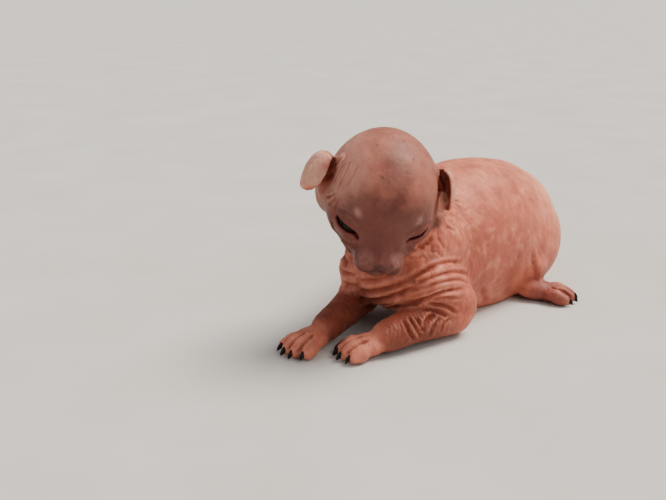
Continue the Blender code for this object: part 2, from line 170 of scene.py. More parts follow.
def baked(obj: bpy.types.Object, name: str) -> bpy.types.Mesh:
    """The object's evaluated mesh as a new mesh, after which the object is removed.

    Args:
        obj: The object, which is used up.
        name: The new mesh's name.

    Returns:
        The new mesh.
    """
    graph = bpy.context.evaluated_depsgraph_get()
    mesh = bpy.data.meshes.new_from_object(obj.evaluated_get(graph), depsgraph=graph)
    mesh.name = name
    bpy.data.objects.remove(obj, do_unlink=True)
    return mesh


def points_of(mesh: bpy.types.Mesh) -> Array:
    """The mesh's vertices, one a row.

    Args:
        mesh: The mesh.

    Returns:
        Points in metres, one a row.
    """
    found = np.empty(len(mesh.vertices) * 3, np.float32)
    mesh.vertices.foreach_get("co", found)
    return found.reshape(-1, 3).astype(np.float64)


def normals_of(mesh: bpy.types.Mesh) -> Array:
    """The mesh's vertex normals, one a row.

    Args:
        mesh: The mesh.

    Returns:
        Unit vectors, one a row.
    """
    found = np.empty(len(mesh.vertices) * 3, np.float32)
    mesh.vertex_normals.foreach_get("vector", found)
    return found.reshape(-1, 3).astype(np.float64)


def set_points(mesh: bpy.types.Mesh, points: Array) -> None:
    """Moves the mesh's vertices."""
    mesh.vertices.foreach_set("co", points.astype(np.float32).ravel())
    mesh.update()


def through(matrix: Matrix, points: Array) -> Array:
    """The points as the matrix moves them."""
    turn = np.array(matrix)
    return points @ turn[:3, :3].T + turn[:3, 3]


def smooth_curve(points: Array, steps: int) -> Array:
    """A smooth line through a few points.

    Args:
        points: The points it passes through, one a row.
        steps: How many places each span is split into.

    Returns:
        The line's points, by the Catmull and Rom rule.
    """
    ends = np.vstack([2 * points[0] - points[1], points, 2 * points[-1] - points[-2]])
    line = []
    for a, b, c, d in zip(ends, ends[1:], ends[2:], ends[3:]):
        for t in np.arange(steps) / steps:
            bend = (2 * a - 5 * b + 4 * c - d) * t**2 + (3 * b - a - 3 * c + d) * t**3
            line.append(0.5 * (2 * b + (c - a) * t + bend))
    line.append(points[-1])
    return np.array(line)


@dataclass(frozen=True)
class Noise:
    """Smooth noise in space, from about -1 to 1."""

    seed: int
    primes: tuple[int, int, int] = (73856093, 19349663, 83492791)
    mixer: int = 1274126177
    seed_shift: float = 13.7
    strength: float = 1.5
    gain: float = 0.5

    def at(self, points: Array, wavelength: float) -> Array:
        """Noise at the points.

        Args:
            points: Places, one a row.
            wavelength: The size of its lumps, in the points' unit.

        Returns:
            One number a point.
        """
        scaled = points / wavelength + self.seed_shift * self.seed
        cell = np.floor(scaled).astype(np.int64)
        part = scaled - cell
        blend = part**3 * (part * (part * 6 - 15) + 10)
        total = np.zeros(len(points))
        for corner in itertools.product((0, 1), repeat=3):
            at = cell + np.array(corner)
            code = (at[:, 0] * self.primes[0]) ^ (at[:, 1] * self.primes[1]) ^ (at[:, 2] * self.primes[2])
            code = (code ^ (code >> 13)) * self.mixer + self.seed
            code = code ^ (code >> 16)
            slope = np.stack([(code >> shift & 255) / 127.5 - 1 for shift in (0, 8, 16)], axis=1)
            weight = np.prod(np.where(np.array(corner) == 1, blend, 1 - blend), axis=1)
            total += weight * ((part - np.array(corner)) * slope).sum(axis=1)
        return total * self.strength

    def layers(self, points: Array, wavelength: float, count: int) -> Array:
        """Several sizes of the noise laid over one another, each half the last one's size."""
        return sum(self.gain**k * self.at(points, wavelength / 2**k) for k in range(count))


@dataclass(frozen=True)
class PictureView:
    """The picture's camera: its frame and lens in pixels, and its place round the kitten in metres."""

    width: int = 666
    height: int = 500
    focal: float = 900.0
    azimuth: float = math.radians(38)
    pitch: float = math.radians(17.3)
    aside: float = -0.052
    back: float = 0.342
    up: float = 0.123
    sensor: float = 36.0
    nearest: float = 0.01
    furthest: float = 20.0

    def axes(self) -> tuple[Vector, Vector, Vector]:
        """The directions to the picture's right, to its top and into it.

        Returns:
            Three unit vectors.
        """
        right = Vector((math.cos(self.azimuth), math.sin(self.azimuth), 0))
        level = Vector((-math.sin(self.azimuth), math.cos(self.azimuth), 0))
        into = level * math.cos(self.pitch) - Vector((0, 0, math.sin(self.pitch)))
        top = level * math.sin(self.pitch) + Vector((0, 0, math.cos(self.pitch)))
        return right, top, into

    def place(self) -> Vector:
        """Where the camera stands.

        Returns:
            A point in metres.
        """
        right = Vector((math.cos(self.azimuth), math.sin(self.azimuth), 0))
        level = Vector((-math.sin(self.azimuth), math.cos(self.azimuth), 0))
        return right * self.aside - level * self.back + Vector((0, 0, self.up))

    def ray(self, pixel: tuple[float, float]) -> Vector:
        """The direction in which the camera sees a pixel.

        Args:
            pixel: The pixel, across and down.

        Returns:
            A unit vector.
        """
        right, top, into = self.axes()
        aside = (pixel[0] - self.width / 2) / self.focal
        rise = (self.height / 2 - pixel[1]) / self.focal
        return (into + right * aside + top * rise).normalized()

    def seen(self, tree: BVHTree, pixel: tuple[float, float]) -> Vector | None:
        """The place that the camera sees at a pixel, or None where it sees nothing of the tree's mesh."""
        return tree.ray_cast(self.place(), self.ray(pixel))[0]

    def build(self) -> None:
        """Makes the scene's camera, at that place."""
        right, top, into = self.axes()
        lens = bpy.data.cameras.new("camera")
        lens.sensor_width = self.sensor
        lens.lens = self.focal / self.width * self.sensor
        lens.clip_start = self.nearest
        lens.clip_end = self.furthest
        obj = bpy.data.objects.new("camera", lens)
        turn = Matrix((right, top, -into)).transposed().to_4x4()
        obj.matrix_world = Matrix.Translation(self.place()) @ turn
        bpy.context.scene.collection.objects.link(obj)
        bpy.context.scene.camera = obj


@dataclass(frozen=True)
class Lump:
    """One ellipsoid of clay: its centre and radii in millimetres, and its turn about each axis in degrees."""

    centre: Point
    radii: Point
    turn: Point = (0, 0, 0)

    def on(self, side: Side) -> "Lump":
        """The same lump on a side, where its own values are the left one's.

        Args:
            side: Which side.

        Returns:
            The lump, mirrored for the right side.
        """
        x, y, z = self.centre
        tilt, lean, swing = self.turn
        out = side.value
        return Lump((out * x, y, z), self.radii, (tilt, out * lean, out * swing))


class Clay:
    """A pile of overlapping lumps and limbs, which a voxel remesh fuses and smoothing blends."""

    ball_segments: int = 36
    ball_rings: int = 24
    limb_segments: int = 32

    def __init__(self, frame: Matrix | None = None) -> None:
        """Starts an empty pile, in a frame of its own if one is given."""
        self.bm = bmesh.new()
        self.frame = frame or Matrix.Identity(4)

    def ball(self, lump: Lump) -> None:
        """Adds one lump.

        Args:
            lump: The lump.
        """
        spin = Euler([math.radians(angle) for angle in lump.turn])
        place = Matrix.LocRotScale(Vector(lump.centre) * MM, spin, Vector(lump.radii) * MM)
        bmesh.ops.create_uvsphere(
            self.bm, u_segments=self.ball_segments, v_segments=self.ball_rings, radius=1,
            matrix=self.frame @ place,
        )

    def pair(self, lump: Lump) -> None:
        """Adds the same lump on the left and on the right."""
        for side in Side:
            self.ball(lump.on(side))

    def limb(self, joints: Joints) -> None:
        """Adds a tapering limb through joints, each a point and a radius in millimetres.

        Args:
            joints: The joints, from one end to the other.
        """
        for (start, thick), (end, thin) in zip(joints, joints[1:]):
            first, last = Vector(start) * MM, Vector(end) * MM
            along = last - first
            place = Matrix.LocRotScale((first + last) / 2, along.to_track_quat("Z", "Y"), None)
            bmesh.ops.create_cone(
                self.bm, cap_ends=True, segments=self.limb_segments, radius1=thick * MM, radius2=thin * MM,
                depth=along.length, matrix=self.frame @ place,
            )
        for point, radius in joints:
            self.ball(Lump(point, (radius, radius, radius)))

    def object(self, name: str, collection: bpy.types.Collection) -> bpy.types.Object:
        """The pile as one mesh object.

        Args:
            name: The object's name.
            collection: Where it goes.

        Returns:
            The new object.
        """
        mesh = bpy.data.meshes.new(name)
        self.bm.to_mesh(mesh)
        self.bm.free()
        return as_object(name, mesh, collection)


def fused(
    name: str, parts: list[bpy.types.Object], voxel: float, smoothing: int, collection: bpy.types.Collection
) -> bpy.types.Object:
    """One closed mesh from overlapping mesh objects.

    Args:
        name: The new object's name.
        parts: The objects that are fused, and removed.
        voxel: The voxels' size in metres.
        smoothing: How many rounds of smoothing blend them.
        collection: Where the new object goes.

    Returns:
        The fused object.
    """
    bm = bmesh.new()
    for part in parts:
        bm.from_mesh(part.data)
        bpy.data.objects.remove(part, do_unlink=True)
    mesh = bpy.data.meshes.new(name)
    bm.to_mesh(mesh)
    bm.free()
    obj = as_object(name, mesh, collection)
    remesh = obj.modifiers.new("fuse", "REMESH")
    remesh.mode = "VOXEL"
    remesh.voxel_size = voxel
    smooth = obj.modifiers.new("blend", "SMOOTH")
    smooth.factor = 0.5
    smooth.iterations = smoothing
    return as_object(name, baked(obj, name), collection)


# The animal's form


@dataclass(frozen=True)
class Trunk:
    """The trunk and the short neck. A station is a place along the body and its half width, top and low."""

    stations: tuple[tuple[float, float, float, float], ...] = (
        (-52, 19.0, 42, 8),
        (-36, 22.5, 50, 3),
        (-20, 25.5, 53, -4),
        (-4, 28.0, 54, -9),
        (10, 28.5, 52.5, -10),
        (24, 27.0, 49.5, -9),
        (36, 22.5, 44.5, -5),
        (46, 15.5, 38.0, 5),
    )
    balls: int = 22
    ball_length: float = 12.5
    breast_sway: float = 2.5
    neck: Joints = (((1, -40, 38), 16), ((4, -54, 45), 14.5), ((6, -60, 51), 13))

    def lay(self, clay: Clay) -> None:
        """Lays the trunk as a row of balls and the neck as a limb.

        Args:
            clay: The body's clay.
        """
        table = np.array(self.stations)
        for y in np.linspace(table[0, 0], table[-1, 0], self.balls):
            half, top, low = (float(np.interp(y, table[:, 0], table[:, k])) for k in (1, 2, 3))
            sway = self.breast_sway * max(0.0, y / table[0, 0]) ** 2
            clay.ball(Lump((sway, y, (top + low) / 2), (half, self.ball_length, (top - low) / 2)))
        clay.limb(self.neck)


@dataclass(frozen=True)
class Foreleg:
    """One shoulder blade, upper arm and forearm, down to the wrist."""

    shoulder: Point
    upper_arm: Joints
    forearm: Joints
    blade: Point = (8.5, 13, 13)
    blade_turn: Point = (-25, 0, 0)

    def lay(self, clay: Clay) -> None:
        """Lays the foreleg.

        Args:
            clay: The body's clay.
        """
        clay.ball(Lump(self.shoulder, self.blade, self.blade_turn))
        clay.limb(self.upper_arm)
        clay.limb(self.forearm)


def forelegs() -> tuple[Foreleg, Foreleg]:
    """The left foreleg, which reaches inward, and the right one, which reaches further out.

    Returns:
        The left and the right one.
    """
    return (
        Foreleg(
            (15, -44, 31),
            (((15, -53, 23), 10.0), ((20.5, -41, 11), 8.4)),
            (((20.5, -43, 7.8), 7.8), ((16, -61, 8.0), 6.6), ((12.4, -72, 6.2), 5.7)),
        ),
        Foreleg(
            (-12, -44, 30),
            (((-10, -53, 21), 9.5), ((-16, -45, 10), 8.0)),
            (((-16, -47, 7.6), 7.4), ((-10.5, -66, 7.6), 6.0), ((-8.6, -78, 6.0), 5.4)),
        ),
    )


@dataclass(frozen=True)
class Hindleg:
    """One thigh and shank, folded against the belly. The values are the left one's."""

    side: Side
    thigh: Lump = Lump((17, 24, 18), (12, 20, 16.5), (18, 0, 14))
    shank: Joints = (((22, 10, 11), 8.6), ((22.5, 14, 7.0), 5.6), ((21.5, 8.5, 5.6), 4.8))

    def lay(self, clay: Clay) -> None:
        """Lays the hind leg down to its ankle."""
        clay.ball(self.thigh.on(self.side))
        clay.limb(tuple(((self.side.value * x, y, z), radius) for (x, y, z), radius in self.shank))


@dataclass(frozen=True)
class Tail:
    """The tail leaves the rump, comes down to the floor and curls round the kitten's right side."""

    thickness: float = 11.6
    taper: float = 0.70
    taper_curve: float = 0.9
    flat: float = 0.35
    path: tuple[Point, ...] = (
        (0, 50, 22), (-0.5, 59, 15), (-5, 67, 6.2), (-15, 72, 0), (-28, 69, 0), (-38, 60, 0), (-42, 49, 0),
    )

    def joints(self) -> Joints:
        """The tail's joints, none of them lower than its own thickness lets it lie.

        Returns:
            The joints from the root to the tip.
        """
        found = []
        for i, (x, y, z) in enumerate(self.path):
            along = (i / (len(self.path) - 1)) ** self.taper_curve
            radius = self.thickness / 2 * (1 - self.taper * along)
            found.append(((x, y, max(z, radius - self.flat)), radius))
        return tuple(found)

    def lay(self, clay: Clay) -> None:
        """Lays the tail."""
        clay.limb(self.joints())


@dataclass(frozen=True)
class Eyes:
    """Eyes under lids that have only begun to part. Directions are the left one's, in the head's frame."""

    radius: float = 4.6 * MM
    lid: float = 1.1 * MM
    clearance: float = 0.12 * MM
    place: Point = (9.8, -11.9, -6.0)
    outward: Point = (0.42, -1.0, 0.10)
    level: Point = (1.0, 0.42, 0.0)
    slant: float = math.radians(19)
    lengths: tuple[float, float] = (10.5 * MM, 12.2 * MM)
    openings: tuple[float, float] = (1.3 * MM, 2.4 * MM)
    opening_depth: float = 3.0 * MM

    def centre(self, side: Side) -> Vector:
        """The eyeball's centre in the head's frame."""
        x, y, z = self.place
        return Vector((side.value * x, y, z)) * MM

    def slit(self, side: Side) -> tuple[Matrix, float, float]:
        """The opening between one eye's lids.

        Args:
            side: Which eye.

        Returns:
            Its frame in the head (+X along it, +Z outward) and its half length and half height.
        """
        mirror = Vector((side.value, 1, 1))
        outward = (Vector(self.outward) * mirror).normalized()
        level = (Vector(self.level) * mirror).normalized()
        level = (level - outward * level.dot(outward)).normalized()
        up = Vector((0, 0, 1))
        up = (up - outward * up.dot(outward) - level * up.dot(level)).normalized()
        wide = level * math.cos(self.slant) + up * math.sin(self.slant)
        turn = Matrix((wide, outward.cross(wide), outward)).transposed().to_4x4()
        place = Matrix.Translation(self.centre(side) + outward * self.radius)
        return place @ turn, self.lengths[side.index] / 2, self.openings[side.index] / 2


@dataclass(frozen=True)
class Ears:
    """Small hoods that still hang, each rooted at its top. Places and directions are in the head's frame."""

    length: float = 13.9 * MM
    radius: float = 4.7 * MM
    thickness: float = 1.05 * MM
    ripple: float = 0.30 * MM
    front: float = math.radians(92)
    rear: float = math.radians(140)
    crown: float = 0.34
    bend: float = -3.4 * MM
    roots: tuple[Point, Point] = ((16.6, 1.2, 7.6), (-18.0, 1.2, 8.1))
    directions: tuple[Point, Point] = ((0.29, -0.36, -0.88), (-0.55, -0.40, -0.73))
    backs: tuple[Point, Point] = ((0.80, 0.52, 0.06), (-0.62, -0.02, 0.74))
    canal_place: float = 0.42
    canal_inset: Point = (1.6, 0.4, 0)
    canal_radii: Point = (2.6, 2.4, 3.6)
    tragus: Joints = (((20.6, 0.8, -9.6), 2.3), ((21.0, -1.8, -5.2), 1.5), ((19.4, -1.6, -1.4), 0.9))
    rows: int = 30
    columns: int = 40

    def root(self, side: Side) -> Vector:
        """Where the ear's top grows from the head."""
        return Vector(self.roots[side.index]) * MM

    def axes(self, side: Side) -> tuple[Vector, Vector, Vector]:
        """The directions along the ear, out of its back and across it.

        Args:
            side: Which ear.

        Returns:
            Three unit vectors.
        """
        along = Vector(self.directions[side.index]).normalized()
        back = Vector(self.backs[side.index])
        back = (back - along * back.dot(along)).normalized()
        return along, back, along.cross(back)

    def canal(self, side: Side) -> Vector:
        """The centre of the hollow that the ear hoods.

        Args:
            side: Which ear.

        Returns:
            A point in metres of the head's frame.
        """
        x, y, z = self.canal_inset
        inset = Vector((side.value * x, y, z)) * MM
        return self.root(side) + self.axes(side)[0] * self.length * self.canal_place - inset

    def hood(self, v: Array) -> Array:
        """The trough's radius, as a share of the full one, at shares of the ear's length."""
        return (1 - (1 - np.clip((v + 0.02) / self.crown, 0.01, 1)) ** 2) ** 0.5

    def edges(self, v: Array) -> tuple[Array, Array]:
        """How far the flap wraps forward and backward, in radians, at shares of the ear's length.

        Args:
            v: Shares of the length, 0 at the root and 1 at the tip.

        Returns:
            The front edge and the rear one.
        """
        tip = np.clip(1 - v**3, 0, 1) ** 0.5
        front = self.front * (0.62 + 0.38 * np.minimum(1, v / 0.6)) * tip + 0.10
        rear = self.rear * (1 - 0.30 * v**2) * tip + 0.10
        return front, rear

    def sheet(self, side: Side, head: Matrix, collection: bpy.types.Collection) -> bpy.types.Object:
        """The cupped flap of one ear: a leaf bent into a trough, with a soft rim and a ripple along it.

        Args:
            side: Which ear.
            head: The head's frame.
            collection: Where the new object goes.

        Returns:
            The flap as a closed mesh.
        """
        along, back, across = self.axes(side)
        bm = bmesh.new()
        grid = []
        for i in range(self.rows + 1):
            v = i / self.rows
            radius = self.radius * float(self.hood(np.array(v))) * (1.0 - 0.10 * v**2)
            front, rear = (float(edge) for edge in self.edges(np.array(v)))
            line = []
            for j in range(self.columns + 1):
                u = 1 - 2 * j / self.columns
                angle = side.value * (front - (front + rear) * j / self.columns)
                ripple = self.ripple * math.sin(9 * v + 3 * u) * u**2
                place = self.root(side) + along * self.length * v
                place += back * (radius * math.cos(angle) + self.bend * v**3 + ripple)
                place += across * (radius + ripple) * math.sin(angle)
                line.append(bm.verts.new(head @ place))
            grid.append(line)
        for low, high in zip(grid, grid[1:]):
            for a, b, c, d in zip(low, low[1:], high[1:], high):
                bm.faces.new((a, b, c, d))
        mesh = bpy.data.meshes.new("ear")
        bm.to_mesh(mesh)
        bm.free()
        sheet = as_object("ear", mesh, collection)
        solid = sheet.modifiers.new("thickness", "SOLIDIFY")
        solid.thickness = self.thickness
        solid.offset = 0
        solid.use_quality_normals = True
        return as_object("ear_" + side.word, baked(sheet, "ear"), collection)


@dataclass(frozen=True)
class Head:
    """The head's place and turn, and its lumps in a frame of its own: nose along -Y, crown up."""

    centre: Point = (6.9, -66.7, 56.3)
    pitch: float = math.radians(27)
    roll: float = math.radians(8)
    yaw: float = math.radians(42)
    skull_width: float = 35.6
    skull_length: float = 42
    temple: Lump = Lump((5.5, 1.5, 0.0), (12.8, 15.5, 14.6))
    cheek: Lump = Lump((10.2, -6.5, -7.2), (7.8, 9.5, 7.6))
    ear_base: Lump = Lump((17.4, 2.2, -4.0), (4.4, 6.0, 7.0), (0, 14, 0))
    jowl: Lump = Lump((15.4, 5.0, -8.6), (6.2, 9.5, 8.0))
    bridge: Lump = Lump((0, -15.5, -6.8), (8.4, 8.5, 6.8), (24, 0, 0))
    snout_side: Lump = Lump((3.8, -15.8, -11.4), (5.2, 8.0, 5.6), (0, 0, 12))
    lip_side: Lump = Lump((6.2, -12.5, -12.8), (5.6, 7.5, 4.6), (0, 0, 18))
    throat: Lump = Lump((0, -8, -13), (9, 12, 6))
    whisker_pad: Lump = Lump((3.5, -21.5, -12.5), (4.5, 5.4, 4.5), (0, 0, 20))
    nose_bridge: Lump = Lump((0, -21.8, -9.2), (3.3, 5.2, 3.3), (30, 0, 0))
    nose_tip: Lump = Lump((0, -25.9, -11.0), (2.4, 1.9, 2.0), (10, 0, 0))
    nostril_wing: Lump = Lump((1.8, -26.0, -11.5), (1.1, 1.4, 1.1), (0, 20, -20))
    chin: Lump = Lump((0, -19.6, -16.8), (4.4, 5.2, 3.0))
    ear_fold: Lump = Lump((15.0, -0.6, 7.6), (1.7, 2.8, 2.8))
    nostril: Lump = Lump((1.25, -27.6, -11.5), (0.55, 1.4, 0.5), (0, 25, -28))
    mouth: Lump = Lump((3.5, -20.8, -14.9), (5.3, 6.9, 0.40), (0, 14, 10))
    lip_cleft: Lump = Lump((0, -26.9, -13.6), (0.3, 1.5, 2.0))
    eyes: Eyes = field(default_factory=Eyes)
    ears: Ears = field(default_factory=Ears)

    def frame(self) -> Matrix:
        """Takes a point of the head's frame to the model."""
        turn = Matrix.Rotation(self.yaw, 4, "Z") @ Matrix.Rotation(self.roll, 4, "Y")
        return Matrix.Translation(Vector(self.centre) * MM) @ turn @ Matrix.Rotation(self.pitch, 4, "X")

    def masses(self, clay: Clay) -> None:
        """Lays the dome, nape and brow, which follow the skull's width, and the head's other large lumps.

        Args:
            clay: The skull's clay.
        """
        half = self.skull_width / 2
        clay.ball(Lump((0, 0, 0), (half, self.skull_length / 2, half)))
        clay.pair(self.temple)
        clay.ball(Lump((0, 8, -3), (0.86 * half, 14, 14.5)))
        clay.ball(Lump((0, -8.0, -3.5), (0.88 * half, 12, 11.5)))
        for lump in (self.cheek, self.ear_base, self.jowl):
            clay.pair(lump)
        clay.ball(self.bridge)
        clay.pair(self.snout_side)
        clay.pair(self.lip_side)
        clay.ball(self.throat)

    def forms(self, clay: Clay) -> None:
        """Lays the whisker pads, nose, nostril wings, chin, the ears' folds and knob and the eyes' bulge.

        Args:
            clay: The face's clay.
        """
        clay.pair(self.whisker_pad)
        clay.ball(self.nose_bridge)
        clay.ball(self.nose_tip)
        clay.pair(self.nostril_wing)
        clay.ball(self.chin)
        clay.pair(self.ear_fold)
        clay.limb(self.ears.tragus)
        lid = (self.eyes.radius + self.eyes.lid) / MM
        clay.pair(Lump(self.eyes.place, (lid, lid, lid)))

    def cuts(self, collection: bpy.types.Collection) -> None:
        """Makes the cutters of the eye sockets, the lids' openings, nostrils, mouth and ear canals.

        Args:
            collection: Where the cutters go.
        """
        pocket = (self.eyes.radius + self.eyes.clearance) / MM
        for side in Side:
            lumps = (
                Lump(tuple(self.eyes.centre(side) / MM), (pocket, pocket, pocket)),
                self.nostril.on(side),
                self.mouth.on(side),
                Lump(tuple(self.ears.canal(side) / MM), self.ears.canal_radii),
            )
            for lump in lumps:
                clay = Clay(self.frame())
                clay.ball(lump)
                clay.object("cut", collection)
            place, long, high = self.eyes.slit(side)
            clay = Clay(self.frame() @ place)
            clay.ball(Lump((0, 0, 0), (long / MM, high / MM, self.eyes.opening_depth / MM)))
            clay.object("slit", collection)
        clay = Clay(self.frame())
        clay.ball(self.lip_cleft)
        clay.object("cleft", collection)


@dataclass(frozen=True)
class Toe:
    """One toe: its place across and along the foot in millimetres, its fan angle in degrees and its size."""

    across: float
    along: float
    fan: float
    size: float


@dataclass(frozen=True)
class Foot:
    """One foot: its ankle in millimetres, its heading from +X in degrees and its length."""

    name: str
    ankle: Point
    heading: float
    length: float
    hind: bool
    toes: int = 4
    toe_spacing: float = 3.55
    toe_end: float = 5.6
    toe_arc: float = 1.1
    toe_fan: float = -10.5
    toe_shrink: float = 0.05

    def frame(self) -> Matrix:
        """The foot's frame, whose +Y runs towards the toes."""
        turn = Matrix.Rotation(math.radians(self.heading - 90), 4, "Z")
        return Matrix.Translation(Vector(self.ankle) * MM) @ turn

    def local(self, points: Array) -> Array:
        """Points of the model in millimetres of the foot's frame."""
        return through(self.frame().inverted(), points) / MM

    def middle(self) -> Point:
        """The middle of the foot, in millimetres of its frame."""
        return (0, self.length * 0.6, 3)

    def toe_places(self) -> list[Toe]:
        """The foot's toes, from one side to the other.

        Returns:
            The toes.
        """
        found = []
        for number in range(self.toes):
            spread = number - (self.toes - 1) / 2
            along = self.length - self.toe_end - self.toe_arc * abs(spread) ** 1.6
            size = 1 - self.toe_shrink * abs(spread)
            found.append(Toe(self.toe_spacing * spread, along, self.toe_fan * spread, size))
        return found

    def lay(self, clay: Clay) -> None:
        """Lays the back of the foot, its pads and its toes, each with a knuckle.

        Args:
            clay: The foot's own clay.
        """
        wide, pad = (5.3, 6.7) if self.hind else (5.6, 6.8)
        clay.ball(Lump((0, self.length * 0.34, 4.0), (wide, self.length * 0.40, 3.9), (-6, 0, 0)))
        clay.ball(Lump((0, self.length * 0.58, 3.4), (pad, 5.0, 3.3)))
        for toe in self.toe_places():
            size = toe.size
            knuckle = (toe.across, toe.along, 3.0)
            clay.ball(Lump(knuckle, (2.15 * size, 4.4 * size, 2.9 * size), (-16, 0, toe.fan)))
            tip = (toe.across * 1.06, toe.along + 2.5, 2.4)
            clay.ball(Lump(tip, (2.1 * size, 2.5 * size, 2.35 * size), (0, 0, toe.fan)))


def all_feet() -> list[Foot]:
    """The kitten's four feet.

    Returns:
        The forepaws and the hind paws.
    """
    return [
        Foot("forepaw_left", (12.2, -71.5, 0), 236, 18, False),
        Foot("forepaw_right", (-8.6, -78.5, 0), 262, 18, False),
        Foot("hindpaw_left", (21.0, 4.5, 0), 24, 24, True),
        Foot("hindpaw_right", (-21.0, 5.5, 0), 142, 24, True),
    ]


# Folds of the skin


class Where(Enum):
    """What a crease's points are: pixels of the picture, or places on the body in millimetres."""

    PICTURE = "picture"
    BODY = "body"


@dataclass(frozen=True)
class Crease:
    """One fold line: what it runs through, its valley's half width and its depth in millimetres."""

    route: tuple[tuple[float, ...], ...]
    width: float
    depth: float
    roll: float = 0.5
    where: Where = Where.PICTURE


CHEST_CREASES = (
    Crease(((405, 264), (390, 275), (373, 281), (357, 281)), 0.8, 0.7),
    Crease(((441, 266), (424, 272), (408, 281), (392, 288), (374, 292), (355, 290)), 0.9, 1.1),
    Crease(((430, 278), (411, 288), (393, 296), (374, 300), (351, 299)), 0.9, 1.2),
    Crease(((468, 289), (452, 290), (437, 294), (419, 301), (403, 306), (383, 308), (360, 306)), 0.7, 1.1),
    Crease(((416, 275), (427, 269), (437, 265), (450, 262), (463, 263)), 0.55, 0.60),
    Crease(((403, 286), (420, 281), (439, 275), (458, 272), (470, 276)), 0.60, 0.70),
    Crease(((407, 293), (421, 288), (443, 282), (460, 280), (472, 285)), 0.50, 0.50),
    Crease(((424, 294), (441, 288), (458, 285)), 0.45, 0.40),
    Crease(((430, 300), (446, 297), (462, 299)), 0.50, 0.60),
    Crease(((427, 303), (445, 306), (459, 314)), 0.55, 0.80),
    Crease(((420, 309), (436, 311), (450, 318)), 0.60, 0.80),
)
ELBOW_CREASES = (
    Crease(((402, 317), (409, 331), (415, 341)), 0.55, 0.8),
    Crease(((407, 315), (416, 328), (421, 338)), 0.55, 0.8),
    Crease(((415, 316), (420, 326), (422, 334)), 0.55, 0.9),
    Crease(((436, 313), (427, 321), (422, 334)), 0.7, 1.2),
    Crease(((441, 316), (433, 328), (429, 337)), 0.6, 0.8),
    Crease(((452, 318), (444, 324), (440, 333)), 0.5, 0.6),
)
NECK_CREASES = (
    Crease(((336, 240), (341, 250), (347, 263)), 0.7, 0.8),
    Crease(((326, 272), (336, 268), (346, 273), (356, 276)), 0.7, 0.8),
    Crease(((314, 284), (328, 281), (344, 284), (360, 287)), 0.8, 0.8),
)
FACE_CREASES = (
    Crease(((336, 208), (347, 212), (357, 220), (364, 232)), 0.5, 0.30),
    Crease(((331, 218), (334, 229), (341, 238), (352, 245), (361, 244)), 0.6, 0.50),
    Crease(((404, 238), (412, 231), (424, 226), (433, 221)), 0.5, 0.28),
    Crease(((405, 244), (410, 250), (419, 248), (428, 242), (433, 234)), 0.6, 0.50),
    Crease(((369, 246), (367, 258), (362, 268)), 0.9, 0.30),
    Crease(((394, 247), (397, 258), (402, 267)), 0.9, 0.30),
    Crease(((338, 240), (341, 248), (345, 257)), 0.6, 0.45),
    Crease(((345, 243), (350, 252), (353, 261)), 0.6, 0.35),
    Crease(((342, 156), (337, 163), (334, 170), (332, 177)), 0.40, 0.55),
    Crease(((333, 155), (335, 161), (336, 167)), 0.35, 0.40),
    Crease(((345, 163), (340, 170), (336, 178), (334, 185)), 0.40, 0.40),
    Crease(((351, 160), (346, 171), (341, 181), (338, 190)), 0.45, 0.32),
    Crease(((357, 166), (352, 177), (346, 187)), 0.50, 0.22),
    Crease(((347, 154), (344, 160), (341, 166)), 0.35, 0.25),
    Crease(((335, 193), (331, 196), (326, 197)), 0.40, 0.50),
    Crease(((337, 198), (332, 201), (328, 206)), 0.45, 0.50),
    Crease(((341, 196), (337, 203), (335, 210)), 0.45, 0.30),
)
FLANK_CREASES = (
    Crease(((446, 222), (453, 238), (462, 249)), 1.2, 0.30),
    Crease(((463, 214), (470, 222), (474, 236)), 1.3, 0.25),
    Crease(((506, 300), (512, 276), (521, 250)), 2.4, 0.35),
    Crease(((526, 284), (535, 262), (541, 236)), 2.6, 0.30),
    Crease(((482, 326), (486, 306), (482, 286)), 1.2, 0.6),
)
HIDDEN_CREASES = tuple(
    Crease(route, width, depth, 0.5, Where.BODY)
    for route, width, depth in (
        (((-15, -40, 46), (-4, -37, 53), (10, -38, 52), (20, -42, 42)), 1.2, 0.50),
        (((-17, -34, 44), (-6, -31, 53), (9, -31, 54), (21, -36, 42)), 1.2, 0.45),
        (((-19, -27, 42), (-8, -24, 53), (8, -25, 54)), 1.3, 0.35),
        (((-16, -49, 40), (-22, -44, 32), (-24, -38, 24), (-23, -34, 14)), 1.3, 0.45),
        (((-21, -41, 40), (-26, -36, 31), (-27, -31, 22), (-26, -27, 12)), 1.4, 0.35),
        (((-25, -33, 38), (-28, -28, 29), (-29, -23, 20)), 1.6, 0.22),
        (((-13, -62, 32), (-18, -56, 25), (-20, -50, 18), (-20, -44, 12)), 1.0, 0.50),
        (((-10, -65, 28), (-15, -61, 22), (-18, -57, 16), (-19, -51, 10)), 0.9, 0.50),
        (((-29, 2, 22), (-28, 6, 12), (-25, 8, 6)), 1.4, 0.45),
        (((-30, -5, 24), (-29, -2, 13), (-26, 1, 5)), 1.5, 0.25),
        (((29, 2, 22), (28, 6, 12), (25, 8, 6)), 1.3, 0.50),
        (((-13, 44, 34), (0, 47, 34), (13, 44, 34)), 1.2, 0.35),
        (((-12, 49, 27), (0, 52, 27), (12, 49, 27)), 1.1, 0.40),
    )
)


@dataclass(frozen=True)
class Rings:
    """Fine wrinkles across a limb. Its ends, their reach, spacing and depth are in millimetres."""

    start: Point
    end: Point
    reach: float
    spacing: float
    depth: float
    lean: Point = (0, 0, 0)
    warp: float = 0.5


